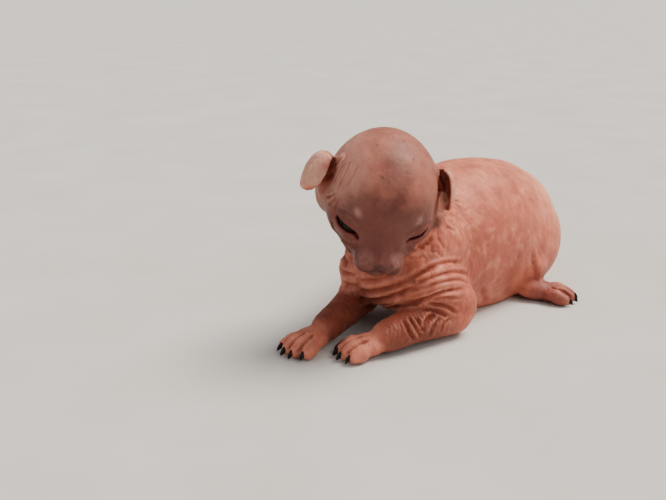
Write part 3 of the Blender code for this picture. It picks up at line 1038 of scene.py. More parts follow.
RINGS = (
    Rings((18.5, -50, 8), (11.8, -73, 7), 10, 1.15, 0.30, (0.25, 0.0, 0.5), 0.35),
    Rings((-15, -50, 8), (-9, -79, 6.5), 9, 1.2, 0.26, (-0.2, 0, 0.4), 0.35),
    Rings((0, 52, 20), (-5, 68, 6), 9, 2.3, 0.30),
    Rings((-5, 70, 4), (-26, 72, 3), 7, 1.9, 0.20),
    Rings((-26, 70, 3), (-42, 50, 2), 6, 1.6, 0.13),
    Rings((22, 14, 8), (30, 9, 5), 8, 1.4, 0.18),
    Rings((-22, 15, 8), (-29, 12, 5), 8, 1.4, 0.18),
    Rings((0, -34, 40), (6, -60, 46), 24, 3.6, 0.40, (0, 0, -0.4), 0.9),
)


class Tone(Enum):
    """What colours a spot: PALE and BROW paint highlights, MOLE paints moles and pits."""

    PALE = "pale"
    BROW = "brow"
    MOLE = "mole"


@dataclass(frozen=True)
class Spot:
    """A small round bump or pit: its place, its radius and height in millimetres, its tone and strength."""

    place: Vector
    radius: float
    height: float
    tone: Tone
    strength: float


BROW_BUMPS = (
    ((357.5, 210.5), 1.30, 0.24), ((358.5, 214), 1.20, 0.24),
    ((419.5, 218.5), 1.00, 0.20), ((420.5, 221.5), 1.00, 0.20), ((417.0, 223), 0.60, 0.14),
)
MOLES = ((378, 145), (413, 159), (383, 177), (352, 197), (404, 142))


def face_spots(head: Head, tree: BVHTree, view: PictureView) -> list[Spot]:
    """The brow bumps with their painted highlight, the moles on the dome and the whiskers' pits.

    Args:
        head: The head.
        tree: The smooth skin's tree.
        view: The picture's view.

    Returns:
        The spots, each at its place on the skin.
    """
    found = []
    for pixel, radius, height in BROW_BUMPS:
        place = view.seen(tree, pixel)
        # The brow bumps are painted lighter, as their highlight.
        found.append(Spot(place, radius, height, Tone.BROW, 0.36))
    for pixel in MOLES:
        place = view.seen(tree, pixel)
        found.append(Spot(place, 0.45, 0.22, Tone.MOLE, 0.6))
    for side in Side:
        for pit in whisker_places(side):
            place = tree.find_nearest(head.frame() @ (Vector(pit) * MM))[0]
            found.append(Spot(place, 0.42, -0.13, Tone.MOLE, 0.55))
    return found


def crease_on(foot: Foot, line: list[Point], width: float, depth: float, roll: float) -> Crease:
    """A crease through points in millimetres of a foot's own frame.

    Args:
        foot: The foot.
        line: The points.
        width: The crease's width in millimetres.
        depth: Its depth in millimetres.
        roll: How high the rolls beside it are, as a share of its depth.

    Returns:
        The crease, in millimetres of the body's frame.
    """
    frame = foot.frame()
    route = tuple(tuple(frame @ (Vector(point) * MM) / MM) for point in line)
    return Crease(route, width, depth, roll, Where.BODY)


def foot_creases(foot: Foot) -> list[Crease]:
    """The clefts between one foot's toes, and the wrinkles over its knuckles.

    Args:
        foot: The foot.

    Returns:
        Its creases.
    """
    toes = foot.toe_places()
    found = []
    for left, right in zip(toes, toes[1:]):
        middle = (left.across + right.across) / 2
        start = (left.along + right.along) / 2
        line = [
            (middle * 0.94, start - 4.2, 8),
            (middle, start - 1, 7),
            (middle * 1.06, start + 2.4, 5),
            (middle * 1.1, start + 4.6, 2.4),
        ]
        found.append(crease_on(foot, line, 0.55, 1.0, 0.25))
    for toe in toes:
        half = 1.5 * toe.size
        for step in (-2.6, -1.5):
            line = [
                (toe.across - half, toe.along + step, 6),
                (toe.across, toe.along + step + 0.5, 8),
                (toe.across + half, toe.along + step, 6),
            ]
            found.append(crease_on(foot, line, 0.32, 0.14, 0.5))
    return found


def knuckles(foot: Foot, tree: BVHTree) -> list[Spot]:
    """The raised knuckle of each toe, with a painted highlight.

    Args:
        foot: The foot.
        tree: The smooth skin's tree.

    Returns:
        One spot a toe.
    """
    found = []
    for toe in foot.toe_places():
        place = tree.find_nearest(foot.frame() @ (Vector((toe.across, toe.along + 0.6, 9)) * MM))[0]
        # The pale tone paints a highlight on each knuckle.
        found.append(Spot(place, 2.0 * toe.size, 0.26, Tone.PALE, 0.30))
    return found


def muzzle_share(local: Array) -> Array:
    """1 on the muzzle and chin, falling to 0 round them, at points in millimetres of the head's frame."""
    return smoothstep(1.16, 0.92, reach(local, (0, -18, -12), (11, 13, 7.8)))


@dataclass
class Skin:
    """The one skin that covers every node of flesh. Its voxels and depths are in metres."""

    head: Head
    feet: list[Foot]
    view: PictureView
    masses_voxel: float = 1.0 * MM
    masses_smoothing: int = 36
    form_voxel: float = 0.40 * MM
    form_smoothing: int = 9
    fine_voxel: float = 0.34 * MM
    fine_smoothing: int = 3
    floor_gap: float = 0.12 * MM
    broad_depth: float = 0.18 * MM
    loose_depth: float = 0.18 * MM
    pore_depth: float = 0.035 * MM
    body_pore_depth: float = 0.02 * MM
    face_depth: float = 0.10 * MM
    obj: bpy.types.Object | None = None
    tree: BVHTree | None = None
    points: Array = field(default_factory=lambda: np.zeros((0, 3)))
    normals: Array = field(default_factory=lambda: np.zeros((0, 3)))
    faces: Array = field(default_factory=lambda: np.zeros((0, 4), int))
    lift: Array = field(default_factory=lambda: np.zeros(0))
    spots: list[Spot] = field(default_factory=list)

    def raise_form(self, shop: bpy.types.Collection) -> None:
        """Fuses the masses, forms, feet and ears, and cuts the eyes, nose, mouth and ears open.

        Args:
            shop: Where its parts are made and used up.
        """
        body = Clay()
        for part in (Trunk(), *forelegs(), *(Hindleg(side) for side in Side), Tail()):
            part.lay(body)
        skull = Clay(self.head.frame())
        self.head.masses(skull)
        large = [body.object("body", shop), skull.object("skull", shop)]
        pieces = [fused("masses", large, self.masses_voxel, self.masses_smoothing, shop)]
        face = Clay(self.head.frame())
        self.head.forms(face)
        pieces.append(face.object("face", shop))
        for foot in self.feet:
            clay = Clay(foot.frame())
            foot.lay(clay)
            pieces.append(clay.object(foot.name, shop))
        whole = fused("whole", pieces, self.form_voxel, self.form_smoothing, shop)
        ears = [self.head.ears.sheet(side, self.head.frame(), shop) for side in Side]
        whole = fused("eared", [whole, *ears], self.form_voxel, self.fine_smoothing, shop)
        self.cut_open(whole, shop)

    def cut_open(self, whole: bpy.types.Object, shop: bpy.types.Collection) -> None:
        """Cuts the head's openings, and makes the final skin with its flats on the floor.

        Args:
            whole: The fused animal, which is used up.
            shop: Where the new object goes.
        """
        tools = new_collection("tools")
        self.head.cuts(tools)
        cut = whole.modifiers.new("cut", "BOOLEAN")
        cut.operation = "DIFFERENCE"
        cut.operand_type = "COLLECTION"
        cut.collection = tools
        cut.solver = "MANIFOLD"
        opened = as_object("opened", baked(whole, "opened"), shop)
        for tool in list(tools.objects):
            bpy.data.objects.remove(tool, do_unlink=True)
        self.obj = fused("skin", [opened], self.fine_voxel, self.fine_smoothing, shop)
        self.obj.name = "skin"
        points = points_of(self.obj.data)
        points[:, 2] = np.where(points[:, 2] < self.floor_gap, 0, points[:, 2])
        set_points(self.obj.data, points)

    def unwrap(self) -> None:
        """Gives the smooth skin its map before the folds are pressed in."""
        bpy.context.view_layer.objects.active = self.obj
        self.obj.select_set(True)
        bpy.ops.object.mode_set(mode="EDIT")
        bpy.ops.mesh.select_all(action="SELECT")
        bpy.ops.uv.smart_project(angle_limit=1.15, island_margin=0.003)
        bpy.ops.object.mode_set(mode="OBJECT")
        self.obj.select_set(False)
        self.obj.data.uv_layers[0].name = "OFBake"

    def survey(self) -> None:
        """Reads the smooth skin's points and normals, and makes the tree that rays are cast on."""
        mesh = self.obj.data
        self.points = points_of(mesh)
        self.normals = normals_of(mesh)
        self.lift = np.zeros(len(self.points))
        corners = np.empty(len(mesh.loops), np.int32)
        mesh.loops.foreach_get("vertex_index", corners)
        self.faces = corners.reshape(-1, 4)
        self.tree = BVHTree.FromPolygons(self.points.tolist(), self.faces.tolist())

    def route(self, crease: Crease) -> Array:
        """A crease's line on the skin.

        Args:
            crease: The crease, whose points are pixels or places on the body.

        Returns:
            Points on the skin, one a row, or fewer than two where the line misses it.
        """
        line = smooth_curve(np.array(crease.route, float), 8)
        found = []
        for point in line:
            if crease.where is Where.PICTURE:
                hit = self.view.seen(self.tree, (point[0], point[1]))
            else:
                hit = self.tree.find_nearest(Vector(point) * MM)[0]
            if hit is not None:
                found.append(hit)
        return np.array(found)

    def press(self, crease: Crease, warp: Array) -> None:
        """Presses one crease into the skin and raises the rolls beside it.

        Args:
            crease: The crease.
            warp: Noise at each of the skin's points, which makes its line less even.
        """
        line = self.route(crease)
        if len(line) < 3:
            return
        width = crease.width * MM
        margin = 5 * width
        near = np.all((self.points > line.min(0) - margin) & (self.points < line.max(0) + margin), axis=1)
        chosen = np.nonzero(near)[0]
        if not len(chosen):
            return
        places = self.points[chosen]
        best = np.full(len(chosen), 1e9)
        share = np.zeros(len(chosen))
        spans = len(line) - 1
        for k, (start, end) in enumerate(zip(line, line[1:])):
            step = end - start
            size = max(float(step @ step), 1e-12)
            if size > (6 * MM) ** 2:
                continue
            t = np.clip((places - start) @ step / size, 0, 1)
            distance = np.linalg.norm(places - start - t[:, None] * step, axis=1)
            closer = distance < best
            best = np.where(closer, distance, best)
            share = np.where(closer, (k + t) / spans, share)
        fade = smoothstep(0, 0.18, share) * smoothstep(1, 0.82, share)
        away = np.abs(best / width + 0.35 * warp[chosen])
        valley = np.exp(-(away**1.4))
        roll = np.exp(-((away - 2.1) ** 2))
        self.lift[chosen] += crease.depth * MM * fade * (crease.roll * roll - valley)

    def ring(self, rings: Rings, warp: Array) -> None:
        """Presses the fine wrinkles that cross one limb.

        Args:
            rings: The wrinkles.
            warp: Noise at each of the skin's points.
        """
        start, end = np.array(rings.start) * MM, np.array(rings.end) * MM
        length = float(np.linalg.norm(end - start))
        along = (end - start) / length
        offset = self.points - start
        travel = offset @ along
        aside = np.linalg.norm(offset - travel[:, None] * along, axis=1)
        mask = smoothstep(rings.reach * MM, rings.reach * 0.75 * MM, aside)
        mask = mask * smoothstep(-2 * MM, 2 * MM, travel)
        mask = mask * smoothstep(length + 2 * MM, length - 2 * MM, travel)
        phase = (travel + offset @ np.array(rings.lean)) / (rings.spacing * MM) + rings.warp * warp
        ridge = np.abs(np.sin(np.pi * phase)) ** 0.8
        self.lift += rings.depth * MM * mask * (ridge - 0.6)

    def stipple(self) -> None:
        """Raises or sinks the spots of the face and the toes' knuckles."""
        self.spots = face_spots(self.head, self.tree, self.view)
        for foot in self.feet:
            self.spots += knuckles(foot, self.tree)
        for spot in self.spots:
            distance = np.linalg.norm(self.points - np.array(spot.place), axis=1) / (spot.radius * MM)
            self.lift += spot.height * MM * np.exp(-(distance**2) * 1.6)

    def face_mask(self) -> Array:
        """1 on the front of the head, falling to 0 behind the ears.

        Returns:
            One number a point.
        """
        local = through(self.head.frame().inverted(), self.points) / MM
        inside = reach(local, (0, -4, -2), (21, 25, 20))
        dome = smoothstep(1.12, 0.92, inside) * smoothstep(20, 8, local[:, 1])
        return np.maximum(dome, muzzle_share(local))

    def creases(self) -> list[Crease]:
        """Every crease of the body and of the feet.

        Returns:
            The creases, in the order in which they are pressed.
        """
        families = (CHEST_CREASES, ELBOW_CREASES, NECK_CREASES, FACE_CREASES, FLANK_CREASES, HIDDEN_CREASES)
        found = list(itertools.chain(*families))
        for foot in self.feet:
            found += foot_creases(foot)
        return found

    def ripple(self) -> None:
        """Adds the loose skin's small wrinkles, its broad unevenness and its pores."""
        face = self.face_mask()
        body = 1 - face
        ahead = smoothstep(-20 * MM, -34 * MM, self.points[:, 1])
        smooth = smoothstep(31 * MM, 38 * MM, self.points[:, 2])
        smooth = smooth * smoothstep(-56 * MM, -46 * MM, self.points[:, 1])
        loose = body * (0.07 + 0.93 * ahead * (1 - 0.85 * smooth))
        broad = Noise(5).layers(self.points * np.array([1.0, 0.55, 1.0]), 11 * MM, 2)
        creased = Noise(11).layers(self.points * np.array([0.8, 1.6, 0.6]), 3.2 * MM, 3)
        pores = Noise(21).layers(self.points, 1.1 * MM, 2)
        uneven = Noise(14).layers(self.points, 6 * MM, 2)
        self.lift += body * self.broad_depth * broad - loose * self.loose_depth * (1 - np.abs(creased)) ** 4
        self.lift += (self.pore_depth + self.body_pore_depth * body) * pores
        self.lift += face * self.face_depth * uneven

    def fold(self) -> None:
        """Presses every crease, ring and ripple into the skin, and keeps its flats on the floor."""
        warp = Noise(3).layers(self.points, 5 * MM, 2)
        small_warp = Noise(8).layers(self.points, 2.2 * MM, 2)
        for crease in self.creases():
            self.press(crease, small_warp)
        for rings in RINGS:
            self.ring(rings, warp)
        self.stipple()
        self.ripple()
        on_floor = smoothstep(0.6 * MM, 0.0, self.points[:, 2])
        self.lift *= 1 - 0.9 * on_floor
        moved = self.points + self.normals * self.lift[:, None]
        moved[:, 2] = np.maximum(moved[:, 2], 0)
        moved[:, 2] = np.where(self.points[:, 2] <= 0, 0, moved[:, 2])
        set_points(self.obj.data, moved)


@dataclass(frozen=True)
class SkinTones:
    """The skin's colours, linear: its own tones, and the tones of its painted shade and painted light."""

    flank: Colour = (0.58, 0.168, 0.100)
    # Mottle tone, also painted shade on the middle of the left flank and low on the body.
    mottle_and_shade: Colour = (0.32, 0.070, 0.046)
    # Pale patches of the skin's own tone, also the painted highlight on raised rolls.
    pale: Colour = (0.72, 0.285, 0.180)
    # Painted light on the rump and the top of the back.
    rump: Colour = (0.86, 0.370, 0.235)
    forehead: Colour = (0.325, 0.113, 0.077)
    mauve: Colour = (0.27, 0.080, 0.066)
    mask: Colour = (0.118, 0.030, 0.021)
    # Whisker pads, painted paler as their highlight.
    pad: Colour = (0.21, 0.080, 0.066)
    # Dark lip skin, with painted shade along the mouth line.
    lips: Colour = (0.050, 0.012, 0.008)
    # Painted highlight on the brow bumps, and painted light on the forehead's right side.
    brow: Colour = (0.52, 0.250, 0.200)
    lid: Colour = (0.17, 0.034, 0.026)
    # Painted shade in the ear's hollow, over the inner skin's redder tone.
    ear_inside_shade: Colour = (0.22, 0.040, 0.024)
    ear_back: Colour = (0.55, 0.310, 0.235)
    # Painted light on the tragus.
    tragus: Colour = (0.66, 0.290, 0.200)
    paw: Colour = (0.56, 0.175, 0.110)
    hind_paw: Colour = (0.23, 0.058, 0.042)
    # Painted shade under the head, on the forearms and the breast.
    arm: Colour = (0.150, 0.031, 0.016)
    # Painted shade in the skin's folds and creases.
    hollow: Colour = (0.21, 0.037, 0.021)
    nose: Colour = (0.060, 0.017, 0.014)
    mole: Colour = (0.07, 0.026, 0.020)

    def paint(self, skin: Skin) -> None:
        """Writes the skin's colour, with painted shade in its folds and painted light on its ridges, and how
        deep in a fold each of its points lies.

        Args:
            skin: The skin, once its folds are pressed in.
        """
        points, head = skin.points, skin.head
        local = through(head.frame().inverted(), points) / MM
        freckled = Noise(33).layers(points, 2.6 * MM, 3)
        colour = self.paint_trunk(skin, freckled)
        colour = self.paint_feet(colour, skin)
        colour, masked = self.paint_head(colour, points, local)
        for side in Side:
            colour = self.paint_eye(colour, local, head.eyes, side)
            colour = self.paint_ear(colour, local, head.ears, side)
        # Painted shade: points deep in a fold are painted darker.
        hollow = np.clip(-skin.lift / (0.8 * MM), 0, 1) ** 0.8
        colour = mixed(colour, self.hollow, 0.62 * hollow * (1 - 0.6 * masked))
        # Painted highlight: raised rolls are painted paler.
        raised = np.clip(skin.lift / (0.5 * MM), 0, 1)
        colour = mixed(colour, self.pale, 0.22 * raised * (1 - masked))
        for spot in skin.spots:
            distance = np.linalg.norm(points - np.array(spot.place), axis=1) / (spot.radius * MM)
            tone = getattr(self, spot.tone.value)
            colour = mixed(colour, tone, spot.strength * np.exp(-(distance**2)))
        colour = colour * (1 + 0.10 * freckled[:, None])
        self.write(skin.obj.data, np.clip(colour, 0.004, 0.9), hollow)

    def paint_trunk(self, skin: Skin, freckled: Array) -> Array:
        """Colours the trunk and limbs: mottled flanks, painted light on the rump and the back's top, and
        painted shade on the middle of the left flank, the breast and the lower body.

        Args:
            skin: The skin.
            freckled: Fine noise at each of its points.

        Returns:
            The colours, one a row.
        """
        points = skin.points
        body = 1 - skin.face_mask()
        colour = np.tile(np.array(self.flank), (len(points), 1))
        patches = Noise(31).layers(points, 6.5 * MM, 3)
        colour = mixed(colour, self.mottle_and_shade, 0.58 * smoothstep(-0.05, 0.60, patches + 0.3 * freckled) * body)
        # Painted light on the rump and the top of the back.
        behind = smoothstep(20 * MM, 44 * MM, points[:, 1] + 0.2 * points[:, 2])
        colour = mixed(colour, self.rump, 0.78 * behind)
        # Painted shade on the middle of the left flank.
        middle = reach(points / MM, (28, -20, 26), (17, 30, 21))
        colour = mixed(colour, self.mottle_and_shade, 0.66 * smoothstep(1.2, 0.4, middle + 0.3 * patches) * body)
        # Painted shade on the breast under the chin.
        breast = smoothstep(-46 * MM, -58 * MM, points[:, 1]) * smoothstep(48 * MM, 32 * MM, points[:, 2])
        colour = mixed(colour, self.arm, 0.27 * breast * body)
        colour = mixed(colour, self.pale, 0.45 * smoothstep(0.05, 0.75, -patches + 0.3 * freckled) * body)
        # Painted shade: the body is painted darker towards the floor.
        low = smoothstep(40 * MM, 8 * MM, points[:, 2])
        return mixed(colour, self.mottle_and_shade, 0.34 * low * body)

    def paint_feet(self, colour: Array, skin: Skin) -> Array:
        """Colours the paws, and paints shade on the forearms behind them.

        Args:
            colour: The skin's colours so far.
            skin: The skin.

        Returns:
            The new colours.
        """
        for foot in skin.feet:
            place = foot.local(skin.points)
            near = smoothstep(14, 7, np.linalg.norm(place - np.array(foot.middle()), axis=1))
            colour = mixed(colour, self.hind_paw if foot.hind else self.paw, 0.9 * near)
            if not foot.hind:
                # Painted shade on the forearms, under the head and chest.
                before = smoothstep(6, 0, place[:, 1]) * smoothstep(-32, -16, place[:, 1])
                beside = smoothstep(15, 9, np.hypot(place[:, 0], 0.75 * place[:, 2]))
                colour = mixed(colour, self.arm, 0.8 * before * beside)
        return colour

    def paint_head(self, colour: Array, points: Array, local: Array) -> tuple[Array, Array]:
        """Colours the head: its forehead, dark mask, whisker pads, lips and nose, with painted light on the
        forehead's right side and on the pads, and painted shade along the mouth.

        Args:
            colour: The skin's colours so far.
            points: The skin's points in metres.
            local: The same points in millimetres of the head's frame.

        Returns:
            The new colours, and how far each point takes the mask's.
        """
        mirrored = np.column_stack([np.abs(local[:, 0]), local[:, 1], local[:, 2]])
        dome = smoothstep(1.15, 0.95, reach(local, (0, -2, -1), (20, 25, 20)))
        base = smoothstep(1.15, 0.9, reach(mirrored, (17, 4.5, -9), (7.5, 10, 9)))
        on_head = np.maximum.reduce([dome, muzzle_share(local), base])
        colour = mixed(colour, self.forehead, on_head)
        drift = Noise(37).layers(points, 7 * MM, 3)
        flushed = Noise(39).layers(points, 5 * MM, 3)
        colour = mixed(colour, self.mauve, 0.65 * smoothstep(-0.1, 0.6, flushed) * on_head)
        # Painted light: the kitten's right side of the forehead is painted lighter.
        aside = smoothstep(-5, -12, local[:, 0]) * smoothstep(-3, 4, local[:, 2])
        colour = mixed(colour, self.brow, 0.45 * aside * on_head)
        masked = smoothstep(-3, -16, local[:, 1] + 0.75 * local[:, 2] + 2.6 * drift) * on_head
        band = reach(local, (1.4, -10, 11), (6.8, 12, 13)) + 0.25 * drift
        band = smoothstep(1.1, 0.3, band) * on_head
        colour = mixed(colour, self.mask, np.clip(0.92 * masked + 0.60 * band, 0, 1))
        # Painted highlight: the whisker pads are painted paler.
        pad = smoothstep(1.15, 0.5, reach(mirrored, (4.6, -24, -10.2), (3.0, 4.0, 3.0)))
        colour = mixed(colour, self.pad, 0.75 * pad)
        # Dark lip skin, with painted shade along the mouth line.
        lips = np.exp(-(((local[:, 2] + 14.9) / 1.3) ** 2)) * smoothstep(-12, -17, local[:, 1]) * on_head
        colour = mixed(colour, self.lips, 0.85 * lips)
        nose = smoothstep(1.1, 0.7, reach(local, (0, -27.6, -11.8), (2.6, 3.0, 2.3)))
        return mixed(colour, self.nose, 0.9 * nose), masked

    def paint_eye(self, colour: Array, local: Array, eyes: Eyes, side: Side) -> Array:
        """Reddens and darkens the rim of one eye's lids.

        Args:
            colour: The skin's colours so far.
            local: The skin's points in millimetres of the head's frame.
            eyes: The eyes' sizes.
            side: Which eye.

        Returns:
            The new colours.
        """
        place, long, high = eyes.slit(side)
        inner = through(place.inverted(), local * MM)
        ring = np.sqrt((inner[:, 0] / (long + 0.3 * MM)) ** 2 + (inner[:, 1] / (high + 0.9 * MM)) ** 2)
        near = smoothstep(1.45, 0.85, ring) * smoothstep(6 * MM, 4 * MM, np.abs(inner[:, 2]))
        return mixed(colour, self.lid, 0.85 * near)

    def paint_ear(self, colour: Array, local: Array, ears: Ears, side: Side) -> Array:
        """Pales the back of one ear, paints shade into its hollow and paints light on its tragus.

        Args:
            colour: The skin's colours so far.
            local: The skin's points in millimetres of the head's frame.
            ears: The ears' sizes.
            side: Which ear.

        Returns:
            The new colours.
        """
        along, back, across = (np.array(axis) for axis in ears.axes(side))
        offset = local - np.array(ears.root(side)) / MM
        share, out, wide = offset @ along * MM / ears.length, offset @ back, offset @ across
        span = smoothstep(-0.08, 0.04, share) * smoothstep(1.12, 1.02, share)
        radial = np.hypot(out - ears.bend / MM * np.clip(share, 0, 1) ** 3, wide)
        radial = radial * MM / (ears.radius * ears.hood(np.maximum(share, 0)))
        front, rear = ears.edges(np.clip(share, 0, 1))
        turned = side.value * np.arctan2(wide, out)
        wrapped = smoothstep(0.22, 0.02, turned - front) * smoothstep(0.22, 0.02, -turned - rear)
        on_flap = span * wrapped * smoothstep(0.98, 1.08, radial) * smoothstep(1.6, 1.35, radial)
        colour = mixed(colour, self.ear_back, 0.75 * on_flap)
        # Painted shade in the ear's hollow and round its canal, over the inner skin's redder tone.
        hollow = np.linalg.norm((local - np.array(ears.canal(side)) / MM) / np.array([4.2, 4.2, 6.0]), axis=1)
        within = smoothstep(1.04, 0.94, radial) * span
        colour = mixed(colour, self.ear_inside_shade, np.maximum(0.80 * within, smoothstep(1.15, 0.75, hollow)))
        # Painted light: the tragus is painted pale.
        knobs = smooth_curve(np.array([point for point, _ in ears.tragus]), 4)
        nearest = np.min([np.linalg.norm(local - knob, axis=1) for knob in knobs], axis=0)
        return mixed(colour, self.tragus, 0.75 * smoothstep(2.6, 1.8, nearest))

    def write(self, mesh: bpy.types.Mesh, colour: Array, hollow: Array) -> None:
        """Stores the colours and the folds' depth on the mesh, for its finish to read.

        Args:
            mesh: The skin's mesh.
            colour: Colours, one a row.
            hollow: Depths from 0 to 1, one a point.
        """
        tint = mesh.attributes.new("tint", "FLOAT_COLOR", "POINT")
        full = np.ones((len(colour), 4), np.float32)
        full[:, :3] = colour
        tint.data.foreach_set("color", full.ravel())
        depth = mesh.attributes.new("hollow", "FLOAT", "POINT")
        depth.data.foreach_set("value", hollow.astype(np.float32))


# Finishes


@dataclass(frozen=True)
class SkinFinish:
    """Bare skin: soft light inside it, a faint fuzz of down, pores and fine lines."""

    roughness: float = 0.50
    subsurface: float = 0.22
    subsurface_scale: float = 0.0014
    sheen: float = 0.02
    sheen_roughness: float = 0.40
    pore_size: float = 0.00045
    line_size: float = 0.0011

    def material(self, name: str) -> bpy.types.Material:
        """The finish as a material.

        Args:
            name: The material's name.

        Returns:
            The new material.
        """
        made = bpy.data.materials.new(name)
        made.use_nodes = True
        nodes, links = made.node_tree.nodes, made.node_tree.links
        shader = nodes["Principled BSDF"]
        shader.inputs["Subsurface Weight"].default_value = self.subsurface
        shader.inputs["Subsurface Radius"].default_value = (1.0, 0.36, 0.20)
        shader.inputs["Subsurface Scale"].default_value = self.subsurface_scale
        shader.inputs["Sheen Weight"].default_value = self.sheen
        shader.inputs["Sheen Roughness"].default_value = self.sheen_roughness
        shader.inputs["Sheen Tint"].default_value = (1.0, 0.86, 0.78, 1)
        shader.inputs["Specular IOR Level"].default_value = 0.25
        place = nodes.new("ShaderNodeTexCoord")
        tint = nodes.new("ShaderNodeAttribute")
        tint.attribute_name = "tint"
        hollow = nodes.new("ShaderNodeAttribute")
        hollow.attribute_name = "hollow"

        flush = nodes.new("ShaderNodeTexNoise")
        flush.inputs["Scale"].default_value = 1 / 0.0042
        flush.inputs["Detail"].default_value = 6
        links.new(place.outputs["Object"], flush.inputs["Vector"])
        spread = nodes.new("ShaderNodeMapRange")
        spread.inputs["From Min"].default_value = 0.30
        spread.inputs["From Max"].default_value = 0.72
        spread.inputs["To Min"].default_value = 0.84
        spread.inputs["To Max"].default_value = 1.12
        links.new(flush.outputs["Fac"], spread.inputs["Value"])
        tone = nodes.new("ShaderNodeVectorMath")
        tone.operation = "SCALE"
        links.new(tint.outputs["Color"], tone.inputs[0])
        links.new(spread.outputs["Result"], tone.inputs["Scale"])
        links.new(tone.outputs["Vector"], shader.inputs["Base Color"])

        dull = nodes.new("ShaderNodeMapRange")
        dull.inputs["To Min"].default_value = self.roughness
        dull.inputs["To Max"].default_value = self.roughness + 0.22
        links.new(hollow.outputs["Fac"], dull.inputs["Value"])
        links.new(dull.outputs["Result"], shader.inputs["Roughness"])

        pores = nodes.new("ShaderNodeTexVoronoi")
        pores.inputs["Scale"].default_value = 1 / self.pore_size
        links.new(place.outputs["Object"], pores.inputs["Vector"])
        lines = nodes.new("ShaderNodeTexNoise")
        lines.inputs["Scale"].default_value = 1 / self.line_size
        lines.inputs["Detail"].default_value = 8
        lines.inputs["Roughness"].default_value = 0.62
        links.new(place.outputs["Object"], lines.inputs["Vector"])
        heights = nodes.new("ShaderNodeMath")
        heights.operation = "MULTIPLY_ADD"
        heights.inputs[1].default_value = 0.25
        links.new(pores.outputs["Distance"], heights.inputs[0])
        links.new(lines.outputs["Fac"], heights.inputs[2])
        bump = nodes.new("ShaderNodeBump")
        bump.inputs["Strength"].default_value = 0.55
        bump.inputs["Distance"].default_value = 0.00022
        links.new(heights.outputs["Value"], bump.inputs["Height"])
        links.new(bump.outputs["Normal"], shader.inputs["Normal"])
        return made


@dataclass(frozen=True)
class PlainFinish:
    """A finish with a mottled colour, for eyes, claws, hairs and the floor."""

    dark: Colour
    light: Colour
    roughness: float
    grain: float
    coat: float = 0.0
    bump: float = 0.0
    specular: float = 0.5

    def material(self, name: str) -> bpy.types.Material:
        """The finish as a material.

        Args:
            name: The material's name.

        Returns:
            The new material.
        """
        made = bpy.data.materials.new(name)
        made.use_nodes = True
        nodes, links = made.node_tree.nodes, made.node_tree.links
        shader = nodes["Principled BSDF"]
        shader.inputs["Roughness"].default_value = self.roughness
        shader.inputs["Specular IOR Level"].default_value = self.specular
        shader.inputs["Coat Weight"].default_value = self.coat
        shader.inputs["Coat Roughness"].default_value = 0.04
        place = nodes.new("ShaderNodeTexCoord")
        noise = nodes.new("ShaderNodeTexNoise")
        noise.inputs["Scale"].default_value = 1 / self.grain
        noise.inputs["Detail"].default_value = 5
        links.new(place.outputs["Object"], noise.inputs["Vector"])
        ramp = nodes.new("ShaderNodeValToRGB")
        ramp.color_ramp.elements[0].position = 0.32
        ramp.color_ramp.elements[0].color = (*self.dark, 1)
        ramp.color_ramp.elements[1].position = 0.70
        ramp.color_ramp.elements[1].color = (*self.light, 1)
        links.new(noise.outputs["Fac"], ramp.inputs["Fac"])
        links.new(ramp.outputs["Color"], shader.inputs["Base Color"])
        if self.bump:
            bump = nodes.new("ShaderNodeBump")
            bump.inputs["Strength"].default_value = 0.5
            bump.inputs["Distance"].default_value = self.bump
            links.new(noise.outputs["Fac"], bump.inputs["Height"])
            links.new(bump.outputs["Normal"], shader.inputs["Normal"])
        return made


def dress(obj: bpy.types.Object, material: bpy.types.Material) -> None:
    """Shades an object smooth, gives it its finish, and lets it ride on the root body.

    Args:
        obj: The object.
        material: Its finish.
    """
    obj.data.materials.clear()
    obj.data.materials.append(material)
    obj.data.shade_smooth()
    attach(obj, "root")


# Eyes and claws


@dataclass(frozen=True)
class Eyeballs:
    """Both eyeballs, each with its cornea's bulge turned to the opening of its lids."""

    segments: int = 64
    rings: int = 40
    bulge: float = 0.018
    bulge_edge: float = 0.86
    finish: PlainFinish = PlainFinish(
        (0.007, 0.0050, 0.0040), (0.018, 0.0165, 0.0120), 0.30, 0.0016, specular=0.05
    )

    def build(self, head: Head, kitten: bpy.types.Collection) -> None:
        """Makes the eyeballs behind the head's lids.

        Args:
            head: The head.
            kitten: Where the new objects go.
        """
        material = self.finish.material("eyeball")
        for side in Side:
            bm = bmesh.new()
            bmesh.ops.create_uvsphere(
                bm, u_segments=self.segments, v_segments=self.rings, radius=head.eyes.radius
            )
            outward = head.eyes.slit(side)[0].to_3x3() @ Vector((0, 0, 1))
            for vert in bm.verts:
                turned = vert.co.normalized().dot(outward)
                facing = max(0.0, (turned - self.bulge_edge) / (1 - self.bulge_edge))
                vert.co *= 1 + self.bulge * facing**1.5
            place = head.frame() @ Matrix.Translation(head.eyes.centre(side))
            bmesh.ops.transform(bm, matrix=place, verts=bm.verts)
            mesh = bpy.data.meshes.new("eyeball_" + side.word)
            bm.to_mesh(mesh)
            bm.free()
            obj = as_object("eyeball_" + side.word, mesh, kitten)
            dress(obj, material)
            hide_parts("eye_" + side.word)
            LOG.info("%s: %d faces", obj.name, len(mesh.polygons))


